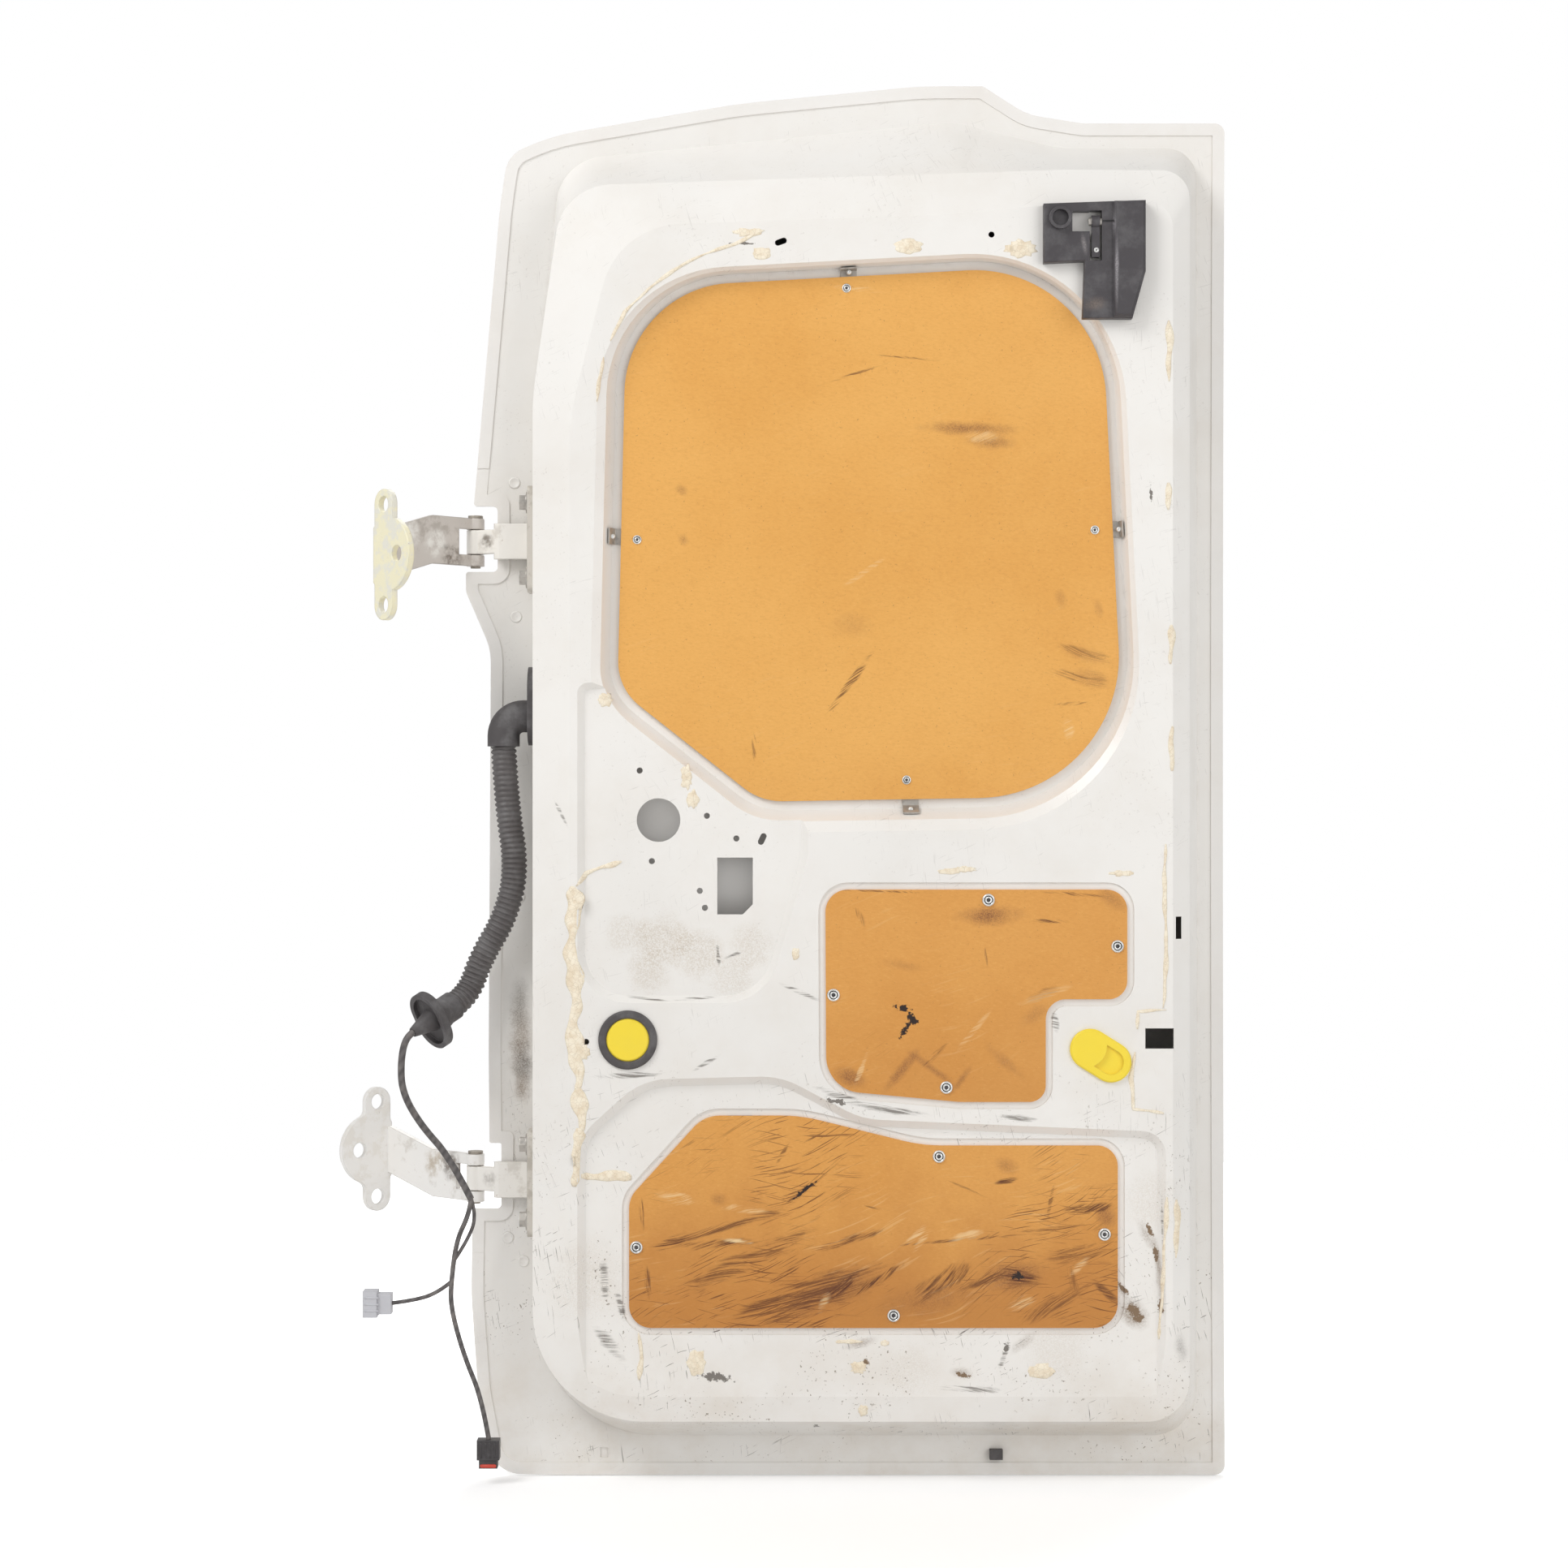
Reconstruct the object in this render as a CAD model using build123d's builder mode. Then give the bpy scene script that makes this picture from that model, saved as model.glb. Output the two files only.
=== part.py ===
"""Rear barn door of a campervan, taken off with both hinges and its wiring.

Origin: middle of the two ear holes on the lower hinge's mounting face.
X runs from the hinge side to the meeting edge, Y towards the outside of the vehicle, Z up.
Depths are measured from the origin towards the inside of the vehicle, along -Y.
All sizes in millimetres.
"""

import os
from math import acos, cos, hypot, radians, sin, sqrt, tan

from build123d import *

os.makedirs("parts", exist_ok=True)

# Pillar leaves: plan angles at rest, reach from pin to bend, and the bent flange
leaf_thickness = 6.0
leaf_reach = 136.9
leaf_turn = 82.2
lower_leaf_angle = 137.8
upper_leaf_angle = 229.8
ear_offset = 14.0
ear_half_span = 49.0
ear_hole_radius = 8.0
ear_radius = 15.0
lobe_centre = 21.0
lobe_radius = 36.0
lobe_hole_offset = 36.0
lobe_hole_radius = 8.0
flange_fillet = 9.0
flange_rise = 20.0

# Hinge pins, placed so that the lower leaf's ear holes straddle the origin
flange_angle = lower_leaf_angle + leaf_turn
pin_x = -leaf_reach * cos(radians(lower_leaf_angle)) - ear_offset * cos(radians(flange_angle))
pin_depth = leaf_reach * sin(radians(lower_leaf_angle)) + ear_offset * sin(radians(flange_angle))
lower_hinge_z = -flange_rise

# Door outline
door_width = 740.0
door_height = 1394.0
door_inset = 14.0
door_left = pin_x + door_inset
door_bottom = -316.0
door_right = door_left + door_width
door_top = door_bottom + door_height
door_middle = door_bottom + door_height / 2
hinge_spacing = 0.46 * door_height
upper_hinge_z = lower_hinge_z + hinge_spacing
brake_lamp_step = 37.0
notch_depth = 9.0
notch_rise = 36.0
notch_fall = 30.0

# Sheet metal
sheet = 1.5
hem_width = 12.0
skin_gap = 2.1
skin_depth = pin_depth + skin_gap
crown_radius = 18000.0
pressing_depth = 2.5
pressing_margin = 14.0

# Raised box of the inner panel: base on the flange, brow where the shoulder starts, flat face
panel_depth = 86.0
shoulder_depth = 13.0
shoulder_width = 38.0
face_depth = skin_depth + panel_depth
brow_depth = face_depth - shoulder_depth
wall_inset = 49.4
wall_x = door_left + wall_inset
face_left = wall_x + shoulder_width
face_right = door_right - 60.0
brow_right = door_right - 42.0
base_right = door_right - 25.0
base_bottom = door_bottom + 32.0
brow_bottom = door_bottom + 64.0
face_bottom = door_bottom + 130.0
face_width = face_right - wall_x

# Recesses and boards
window_floor = 24.0
lip_depth = 5.0
ledge_width = 9.0
window_slope = 15.0
window_rim = 22.0
seat_drop = 2.0
seat_margin = 7.0
wiper_drop = 7.0
lower_drop = 8.0
field_rim = 7.0
board_thickness = 3.0
board_lap = 16.0

# Window clips
clip_thickness = 1.5
clip_width = 16.0
clip_reach = 10.0
clip_height = 12.0
clip_gap = 1.5

# Knuckles, door leaves and bolts
arm_height = 48.0
lug_height = 11.0
knuckle_radius = 9.0
knuckle_clearance = 17.0
pin_radius = 5.0
pin_play = 0.05
pin_head = 3.0
plate_thickness = 7.0
plate_height = 106.0
plate_width = 44.0
plate_corner = 8.0
arm_drop = 13.5
door_arm_height = 36.0
bolt_half_span = 37.5
bolt_radius = 6.0
bolt_head = 9.0
bolt_flange = 2.5

# Plugs, holes and the upper latch
cap_radius = 21.0
cap_height = 6.5
ring_radius = 29.0
ring_height = 3.5
oval_length = 64.0
oval_width = 40.0
oval_height = 4.0
oval_lip = 6.0
oval_tilt = -32.0
plug_chamfer = 1.5
latch_slot_width = 28.0
latch_slot_height = 20.0
edge_slot_width = 6.0
edge_slot_height = 22.0
wiper_hole_radius = 21.5
motor_hole_width = 35.0
motor_hole_height = 56.0
screw_hole_radius = 3.0
cover_width = 100.0
cover_drop = 116.0
cover_height = 12.0
cover_ridge = 7.0
cover_chamfer = 1.2
axle_radius = 4.0
axle_length = 31.0
axle_rise = 8.0
lever_length = 35.0
lever_width = 8.0
bush_radius = 11.0
bush_bore = 8.0
block_width = 13.0
block_height = 10.0
block_depth = 8.0

# Wiring
conduit_radius = 13.0
conduit_drop = 257.4
elbow_reach = 31.0
elbow_drop = 40.0
grommet_width = 46.0
grommet_length = 78.0
grommet_thickness = 6.0
exit_inset = 47.0
loom_radius = 3.4
loom_drop = 166.7
tail_radius = 2.4
tail_drop = 238.0
strand_radius = 1.8
branch_radius = 2.0


def across(share):
    """Place across the inner face, as a share of its width from the hinge-side wall."""
    return wall_x + share * face_width


def up(share):
    """Height on the door, as a share of its height from the bottom edge."""
    return door_bottom + share * door_height


def laid(left, bottom, right, top, shares):
    """Corners inside a box, given as shares of its width and height."""
    return [(left + u * (right - left), bottom + v * (top - bottom)) for u, v in shares]


def grown(points, amount):
    """Corners of an outline with every side moved outwards; points run anticlockwise."""
    moved = []
    count = len(points)
    for index in range(count):
        ax, az = points[index - 1]
        bx, bz = points[index]
        cx, cz = points[(index + 1) % count]
        before = hypot(bx - ax, bz - az)
        after = hypot(cx - bx, cz - bz)
        n1 = ((bz - az) / before, (ax - bx) / before)
        n2 = ((cz - bz) / after, (bx - cx) / after)
        share = amount / (1 + n1[0] * n2[0] + n1[1] * n2[1])
        moved.append((bx + share * (n1[0] + n2[0]), bz + share * (n1[1] + n2[1])))
    return moved


def grown_radii(points, radii, amount):
    """Corner radii that keep the sides parallel when an outline is moved outwards."""
    moved = []
    count = len(points)
    for index in range(count):
        ax, az = points[index - 1]
        bx, bz = points[index]
        cx, cz = points[(index + 1) % count]
        turn = (bx - ax) * (cz - bz) - (bz - az) * (cx - bx)
        change = amount if turn > 0 else -amount
        moved.append(max(radii[index] + change, 0.8))
    return moved


def outline(points, radii, depth, grow=0.0, shift=(0.0, 0.0)):
    """Rounded outline, seen from the inside of the vehicle, at a depth."""
    corners = [Vector(x + shift[0], z + shift[1]) for x, z in grown(points, grow)]
    rounds = grown_radii(points, radii, grow)
    count = len(corners)
    with BuildSketch(Plane.XZ.offset(depth)) as shape:
        with BuildLine():
            ends = []
            for index in range(count):
                corner = corners[index]
                back = corners[index - 1] - corner
                ahead = corners[(index + 1) % count] - corner
                half = acos(max(-1.0, min(1.0, back.normalized().dot(ahead.normalized())))) / 2
                reach = min(rounds[index] / tan(half), 0.49 * back.length, 0.49 * ahead.length)
                inward = (back.normalized() + ahead.normalized()).normalized()
                start = corner + back.normalized() * reach
                end = corner + ahead.normalized() * reach
                crest = corner + inward * (reach / cos(half) - reach * tan(half))
                ThreePointArc(start, crest, end)
                ends.append((start, end))
            for index in range(count):
                Line(ends[index - 1][1], ends[index][0])
        make_face()
    return shape.sketch


def crown_depth(z, depth):
    """Depth at a height of a crowned surface, given by its depth at mid height."""
    return depth + crown_radius - sqrt(crown_radius**2 - (z - door_middle) ** 2)


def crown_section(near, far):
    """Upright section between two crowned surfaces, given by their depths at mid height."""
    top = door_top + hem_width
    bottom = door_bottom - hem_width
    with BuildSketch(Plane.YZ) as section:
        with BuildLine():
            ThreePointArc(
                (-crown_depth(bottom, near), bottom),
                (-near, door_middle),
                (-crown_depth(top, near), top),
            )
            Line((-crown_depth(top, near), top), (-crown_depth(top, far), top))
            ThreePointArc(
                (-crown_depth(top, far), top),
                (-far, door_middle),
                (-crown_depth(bottom, far), bottom),
            )
            Line((-crown_depth(bottom, far), bottom), (-crown_depth(bottom, near), bottom))
        make_face()
    return section.sketch


def crowned(shape, near, far):
    """Slab with the given outline between two crowned surfaces."""
    with BuildPart() as slab:
        extrude(shape, amount=2 * face_depth)
        extrude(crown_section(near, far), amount=2 * door_right, mode=Mode.INTERSECT)
    return slab.part


def bend_radii(points):
    """Radius at each inner point of a cord, from the shorter run beside it and its turn."""
    radii = []
    for a, b, c in zip(points, points[1:], points[2:]):
        u = Vector(*b) - Vector(*a)
        v = Vector(*c) - Vector(*b)
        turn = acos(max(-1.0, min(1.0, u.normalized().dot(v.normalized()))))
        radii.append(0.45 * min(u.length, v.length) / tan(turn / 2))
    return radii


def piece(part, name):
    """Name a finished solid and write its file."""
    part.label = name
    export_step(part, f"parts/{name}.step")


# Door outline: bottom right, up the meeting edge, over the top and down the hinge side
lamp_x = door_left + 0.672 * door_width
curve_x = door_left + 0.34 * door_width
corner_x = door_left + 0.09 * door_width
door_points = [
    (door_right, door_bottom),
    (door_right, door_top - brake_lamp_step),
    (lamp_x + 2.7 * brake_lamp_step, door_top - brake_lamp_step),
    (lamp_x + 1.2 * brake_lamp_step, door_top - 0.76 * brake_lamp_step),
    (lamp_x, door_top),
    (lamp_x - 1.7 * brake_lamp_step, door_top),
    (curve_x, up(0.9875)),
    (corner_x, up(0.965)),
    (door_left + 20, up(0.951)),
    (door_left + 12, up(0.914)),
    (door_left - 15, upper_hinge_z + notch_rise),
    (door_left + notch_depth, upper_hinge_z + notch_rise),
    (door_left + notch_depth, upper_hinge_z - notch_fall),
    (door_left - 23, upper_hinge_z - notch_fall),
    (door_left - 23, upper_hinge_z - notch_fall - 20),
    (door_left + 2, upper_hinge_z - notch_fall - 78),
    (door_left, lower_hinge_z + notch_rise + 90),
    (door_left + 1, lower_hinge_z + notch_rise),
    (door_left + notch_depth + 4, lower_hinge_z + notch_rise),
    (door_left + notch_depth + 4, lower_hinge_z - notch_fall),
    (door_left - 16, lower_hinge_z - notch_fall),
    (door_left - 17, up(0.129)),
    (door_left - 10, up(0.061)),
    (door_left + 6, door_bottom + 1),
    (corner_x, door_bottom),
]
door_radii = [
    10, 10, 60, 60, 6, 400, 700, 700, 30, 300, 3, 5, 5, 3, 12, 60, 1500, 2, 2, 5, 3, 300, 150, 34, 200,
]

# Raised box: bottom right, top right, brake lamp step, top left, lean of the wall, bottom left
base_points = [
    (base_right, base_bottom),
    (base_right, door_top - brake_lamp_step - 16),
    (lamp_x + 2 * brake_lamp_step, door_top - brake_lamp_step - 16),
    (lamp_x - 0.7 * brake_lamp_step, door_top - 16),
    (wall_x + 22, up(0.954)),
    (wall_x, up(0.772)),
    (wall_x, base_bottom),
]
base_radii = [45, 30, 90, 140, 50, 260, 125]
brow_points = [
    (brow_right, brow_bottom),
    (brow_right, up(0.932)),
    (lamp_x + 2 * brake_lamp_step, up(0.9325)),
    (lamp_x - 0.7 * brake_lamp_step, up(0.930)),
    (wall_x + 30, up(0.921)),
    (wall_x, up(0.772)),
    (wall_x, brow_bottom),
]
brow_radii = [42, 28, 800, 2400, 55, 260, 110]
face_points = [
    (face_right, face_bottom),
    (face_right, up(0.909)),
    (lamp_x + 2 * brake_lamp_step, up(0.907)),
    (lamp_x - 0.7 * brake_lamp_step, up(0.899)),
    (face_left + 47, up(0.891)),
    (face_left, up(0.758)),
    (face_left, face_bottom),
]
face_radii = [36, 26, 800, 1600, 80, 260, 64]

# Window board; its recess opens further below and on the hinge side than above
window_left = across(0.1325)
window_right = across(0.930)
window_bottom = up(0.485)
window_top = up(0.867)
window_shares = [(0.282, 0), (1, 0.011), (0.948, 1), (0.018, 0.953), (0, 0.21)]
window_points = laid(window_left, window_bottom, window_right, window_top, window_shares)
window_radii = [60, 140, 130, 110, 55]
slope_shift = (-2.0, -5.0)
rim_shift = (-4.0, -9.0)

# Middle board
middle_left = across(0.458)
middle_right = across(0.9285)
middle_bottom = up(0.2733)
middle_top = up(0.423)
middle_shares = [(0.73, 0), (0.73, 0.484), (1, 0.484), (1, 1), (0, 1), (0.003, 0.058), (0.445, 0)]
middle_points = laid(middle_left, middle_bottom, middle_right, middle_top, middle_shares)
middle_radii = [16, 20, 18, 20, 22, 36, 60]

# Lower board
lower_left = across(0.1515)
lower_right = across(0.915)
lower_bottom = up(0.113)
lower_top = up(0.263)
lower_shares = [(0, 0), (1, 0), (1, 0.859), (0.6, 0.859), (0.351, 1), (0.154, 1), (0, 0.612)]
lower_points = laid(lower_left, lower_bottom, lower_right, lower_top, lower_shares)
lower_radii = [22, 24, 20, 160, 160, 34, 26]

# Lower field of the face, one step down, with the same sweep along its top; it runs out below
field_left = face_left + field_rim
field_right = face_right - field_rim
field_bottom = brow_bottom - field_rim
field_top = up(0.2915)
field_shares = [(0, 0), (1, 0), (1, 0.8425), (0.4836, 0.879), (0.345, 1), (0.11, 0.99), (0, 0.826)]
field_points = laid(field_left, field_bottom, field_right, field_top, field_shares)
field_radii = [63, 34, 24, 80, 80, 70, 50]

# Shallow bay of the wiper motor, open to the window recess above it
wiper_shares = [(0, 0), (0.819, 0), (1, 0.45), (1, 0.69), (0.36, 1), (0, 0.97)]
wiper_points = laid(face_left + field_rim, up(0.343), across(0.4315), up(0.575), wiper_shares)
wiper_radii = [50, 55, 60, 20, 20, 10]

# Places of holes and plugs
wiper_hole = (across(0.1975), up(0.472))
motor_hole = (across(0.317), up(0.4254))
screw_holes = [
    (across(0.168), up(0.507)),
    (across(0.273), up(0.475)),
    (across(0.319), up(0.459)),
    (across(0.187), up(0.443)),
    (across(0.262), up(0.422)),
    (across(0.27), up(0.41)),
    (across(0.085), up(0.3156)),
    (across(0.717), up(0.885)),
]
clip_holes = [(across(0.3595), up(0.4586), 65), (across(0.3886), up(0.88), 20)]
ring_place = (across(0.15), up(0.317))
oval_place = (across(0.887), up(0.306))
latch_slot = (across(0.979), up(0.318))
edge_slot_z = up(0.396)
drain_place = (across(0.107), door_bottom + 22)


def box_loft(inset):
    """Raised box from the flange over the shoulder to the flat face, or its hollow."""
    with BuildPart() as shell:
        loft(
            [
                outline(base_points, base_radii, skin_depth - sheet, -inset),
                outline(brow_points, brow_radii, brow_depth - inset / 2, -inset),
                outline(face_points, face_radii, face_depth - inset, -inset),
            ],
            ruled=True,
        )
    return shell.part


def window_outline(depth, grow=0.0, shift=(0.0, 0.0)):
    """Outline of the window board, grown and shifted."""
    return outline(window_points, window_radii, depth, grow, shift)


def window_loft(wall):
    """Window recess down to the board's ledge, or the sheet round it."""
    with BuildPart() as recess:
        loft(
            [
                window_outline(face_depth - window_floor - wall, ledge_width + wall),
                window_outline(face_depth - lip_depth - wall, window_slope + wall, slope_shift),
                window_outline(face_depth + wall / 4, window_rim + 1.5 * wall, rim_shift),
            ],
            ruled=True,
        )
    return recess.part


def step_loft(points, radii, drop, wall):
    """Pan with sides at 45 degrees, or the sheet round it."""
    with BuildPart() as pan:
        loft(
            [
                outline(points, radii, face_depth - drop - wall, wall - drop),
                outline(points, radii, face_depth + wall / 4, 1.25 * wall),
            ],
            ruled=True,
        )
    return pan.part


def seat(points, radii, floor, wall):
    """Flat seat under a board, or the sheet round it."""
    with BuildPart() as pocket:
        extrude(outline(points, radii, floor - wall, seat_margin + wall), amount=panel_depth)
    return pocket.part


window_seat = face_depth - window_floor
middle_seat = face_depth - seat_drop
lower_seat = face_depth - lower_drop - seat_drop


def recesses(wall):
    """All recesses of the face, or the sheet round them."""
    return [
        window_loft(wall),
        step_loft(field_points, field_radii, lower_drop, wall),
        step_loft(wiper_points, wiper_radii, wiper_drop, wall),
        seat(middle_points, middle_radii, middle_seat, wall),
        seat(lower_points, lower_radii, lower_seat, wall),
    ]


flange_shape = outline(door_points, door_radii, 0, -sheet)
flange_blank = crowned(flange_shape, skin_depth + sheet, skin_depth + 2 * sheet)
hem_shape = outline(door_points, door_radii, 0, -hem_width)

# Outer skin with a shallow window pressing, its edge hemmed over the flange of the panel
with BuildPart() as pressing:
    press_shape = window_outline(0, pressing_margin)
    well_shape = window_outline(0, pressing_margin - sheet)
    add(crowned(press_shape, skin_depth, skin_depth + pressing_depth + sheet))
    add(crowned(well_shape, skin_depth - sheet, skin_depth + pressing_depth), mode=Mode.SUBTRACT)

with BuildPart() as outer_skin:
    add(crowned(outline(door_points, door_radii, 0), skin_depth, skin_depth + 3 * sheet))
    add(flange_blank, mode=Mode.SUBTRACT)
    add(crowned(hem_shape, skin_depth + 2 * sheet, skin_depth + 6 * sheet), mode=Mode.SUBTRACT)
    for hinge_z in (lower_hinge_z, upper_hinge_z):
        hem_depth = max(crown_depth(hinge_z + side * plate_height, skin_depth) for side in (-1, 1))
        with Locations((door_left, -hem_depth - 2 * sheet, hinge_z)):
            Box(
                2 * wall_inset,
                20 * sheet,
                1.4 * plate_height,
                align=(Align.CENTER, Align.MAX, Align.CENTER),
                mode=Mode.SUBTRACT,
            )
    add(crowned(press_shape, skin_depth - sheet, skin_depth + sheet), mode=Mode.SUBTRACT)
    add(pressing.part)
piece(outer_skin.part, "outer_skin")

# Inner panel: the box on its flange, pressed recesses, then the hollow behind and the cut-outs
with BuildPart() as hollow:
    add(box_loft(sheet))
    for skin_of_recess in recesses(sheet):
        add(skin_of_recess, mode=Mode.SUBTRACT)

with BuildPart() as inner_panel:
    add(box_loft(0))
    extrude(crown_section(0, skin_depth + 1.5 * sheet), amount=2 * door_right, mode=Mode.SUBTRACT)
    add(flange_blank)
    for recess in recesses(0):
        add(recess, mode=Mode.SUBTRACT)
    add(hollow.part, mode=Mode.SUBTRACT)
    for points, radii, floor in (
        (window_points, window_radii, window_seat),
        (middle_points, middle_radii, middle_seat),
        (lower_points, lower_radii, lower_seat),
    ):
        opening = outline(points, radii, floor - 2 * sheet, -board_lap)
        extrude(opening, amount=3 * sheet, mode=Mode.SUBTRACT)
    with BuildSketch(Plane.XZ.offset(face_depth - 2 * wiper_drop)):
        with Locations(wiper_hole):
            Circle(wiper_hole_radius)
        with Locations(motor_hole):
            Rectangle(motor_hole_width, motor_hole_height)
        with Locations((motor_hole[0] + motor_hole_width / 2, motor_hole[1] - motor_hole_height / 2)):
            Rectangle(0.4 * motor_hole_width, 0.4 * motor_hole_width, rotation=45, mode=Mode.SUBTRACT)
        with Locations(*screw_holes):
            Circle(screw_hole_radius)
        for hole_x, hole_z, tilt in clip_holes:
            with Locations((hole_x, hole_z)):
                SlotOverall(4 * screw_hole_radius, 2 * screw_hole_radius, rotation=tilt)
        with Locations(ring_place):
            Circle(cap_radius)
        with Locations(oval_place):
            SlotOverall(oval_length - 2 * oval_lip, oval_width - 2 * oval_lip, rotation=oval_tilt)
        with Locations(latch_slot):
            Rectangle(latch_slot_width, latch_slot_height)
    extrude(amount=3 * wiper_drop, mode=Mode.SUBTRACT)
    with Locations((face_right + edge_slot_width, -brow_depth, edge_slot_z)):
        Box(edge_slot_width, 4 * shoulder_depth, edge_slot_height, mode=Mode.SUBTRACT)
    with Locations((drain_place[0], -skin_depth, drain_place[1])):
        Box(block_depth, panel_depth, block_height, mode=Mode.SUBTRACT)
piece(inner_panel.part, "inner_panel")


def hinge_plane(angle, hinge_z, reach=0.0, turn=0.0, rise=0.0):
    """Upright plane on a hinge: x along the leaf, y up, starting a reach from the pin."""
    along = radians(angle)
    facing = radians(angle + turn)
    return Plane(
        origin=(pin_x + reach * cos(along), -pin_depth + reach * sin(along), hinge_z + rise),
        x_dir=(cos(facing), sin(facing), 0),
        z_dir=(sin(facing), -cos(facing), 0),
    )


def round_bar(radius, z, height, mode=Mode.ADD):
    """Upright round bar on the hinge pin's axis, in the current part."""
    with BuildSketch(Plane.XY.offset(z)) as disc:
        with Locations((pin_x, -pin_depth)):
            Circle(radius)
    extrude(disc.sketch, amount=height, mode=mode)


def body_leaf(angle, hinge_z, side):
    """Pillar leaf: two lugs on the pin, a flat arm and a bent flange with three holes."""
    rise = flange_rise * side
    half = arm_height / 2
    gap = arm_height - 2 * lug_height
    bend = leaf_reach - leaf_thickness / 2
    with BuildPart() as leaf:
        with BuildSketch(hinge_plane(angle, hinge_z)):
            with BuildLine():
                Polyline(
                    (0, -half),
                    (0.45 * leaf_reach, -half),
                    (bend, rise - half),
                    (bend, rise + half),
                    (0.45 * leaf_reach, half),
                    (0, half),
                    close=True,
                )
            make_face()
        extrude(amount=leaf_thickness / 2, both=True)
        round_bar(knuckle_radius, hinge_z - half, arm_height)
        round_bar(knuckle_radius + knuckle_clearance, hinge_z - gap / 2, gap, Mode.SUBTRACT)
        round_bar(pin_radius, hinge_z - half, arm_height, Mode.SUBTRACT)
        with BuildSketch(hinge_plane(angle, hinge_z, leaf_reach, leaf_turn, rise)) as flange:
            with Locations((ear_offset, 0)):
                SlotOverall(2 * (ear_half_span + ear_radius), 2 * ear_radius, rotation=90)
            with Locations((lobe_centre, 0)):
                Circle(lobe_radius)
            inner_corners = flange.vertices().filter_by(
                lambda corner: abs(corner.Z - hinge_z - rise) < ear_half_span - 1
            )
            fillet(inner_corners, radius=flange_fillet)
            with Locations((-leaf_thickness / 2, 0)):
                Rectangle(
                    2 * ear_offset,
                    4 * ear_half_span,
                    align=(Align.MAX, Align.CENTER),
                    mode=Mode.SUBTRACT,
                )
            with Locations((ear_offset, ear_half_span), (ear_offset, -ear_half_span)):
                Circle(ear_hole_radius, mode=Mode.SUBTRACT)
            with Locations((lobe_hole_offset, 0)):
                Circle(lobe_hole_radius, mode=Mode.SUBTRACT)
        extrude(amount=-leaf_thickness)
    return leaf.part


def door_leaf(hinge_z):
    """Door leaf: a plate against the side wall and a cranked arm to the middle knuckle."""
    gap = arm_height - 2 * lug_height
    knuckle = gap - 2
    sweep = knuckle_radius + knuckle_clearance + 1
    near = pin_depth + arm_drop
    low = hinge_z - door_arm_height / 2
    with BuildPart() as leaf:
        with BuildSketch(Plane.YZ.offset(wall_x)):
            with Locations((-near - plate_width / 2, hinge_z)):
                RectangleRounded(plate_width, plate_height, plate_corner)
        extrude(amount=-plate_thickness)
        with BuildSketch(Plane.XY.offset(low)):
            with BuildLine():
                Polyline(
                    (wall_x - plate_thickness, -near),
                    (wall_x - plate_thickness, -near - plate_thickness),
                    (pin_x + sweep - 2, -near - plate_thickness),
                    (pin_x + 2, -pin_depth - knuckle_radius + 0.6),
                    (pin_x + pin_radius + 1, -pin_depth + 2),
                    (pin_x + sweep + 1, -near),
                    close=True,
                )
            make_face()
        extrude(amount=door_arm_height)
        round_bar(sweep, low, (door_arm_height - knuckle) / 2, Mode.SUBTRACT)
        round_bar(sweep, hinge_z + knuckle / 2, door_arm_height, Mode.SUBTRACT)
        round_bar(knuckle_radius, hinge_z - knuckle / 2, knuckle)
        round_bar(pin_radius + pin_play, low, door_arm_height, Mode.SUBTRACT)
    return leaf.part


def hinge_pin(hinge_z):
    """Pin with a flat head on top of the upper lug."""
    with BuildPart() as pin:
        round_bar(pin_radius, hinge_z - arm_height / 2 - 2, arm_height + 2)
        round_bar(1.5 * pin_radius, hinge_z + arm_height / 2, pin_head)
    return pin.part


def hinge_bolts(hinge_z):
    """Two flanged bolts through the plate."""
    depth = pin_depth + arm_drop + plate_width / 2
    places = [(-depth, hinge_z - bolt_half_span), (-depth, hinge_z + bolt_half_span)]
    with BuildPart() as bolts:
        with BuildSketch(Plane.YZ.offset(wall_x - plate_thickness)):
            with Locations(*places):
                Circle(1.8 * bolt_radius)
        extrude(amount=-bolt_flange)
        with BuildSketch(Plane.YZ.offset(wall_x - plate_thickness - bolt_flange)):
            with Locations(*places):
                RegularPolygon(1.35 * bolt_radius, 6)
        extrude(amount=bolt_flange - bolt_head)
    return bolts.part


piece(body_leaf(lower_leaf_angle, lower_hinge_z, 1), "lower_hinge_body_leaf")
piece(body_leaf(upper_leaf_angle, upper_hinge_z, -1), "upper_hinge_body_leaf")
for level, hinge_z in (("lower", lower_hinge_z), ("upper", upper_hinge_z)):
    piece(door_leaf(hinge_z), f"{level}_hinge_door_leaf")
    piece(hinge_pin(hinge_z), f"{level}_hinge_pin")
    piece(hinge_bolts(hinge_z), f"{level}_hinge_bolts")

with BuildPart() as window_board:
    extrude(window_outline(window_seat + clip_thickness), amount=board_thickness)
piece(window_board.part, "window_board")

with BuildPart() as middle_board:
    extrude(outline(middle_points, middle_radii, middle_seat), amount=board_thickness)
piece(middle_board.part, "middle_board")

with BuildPart() as lower_board:
    extrude(outline(lower_points, lower_radii, lower_seat), amount=board_thickness)
piece(lower_board.part, "lower_board")


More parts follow.
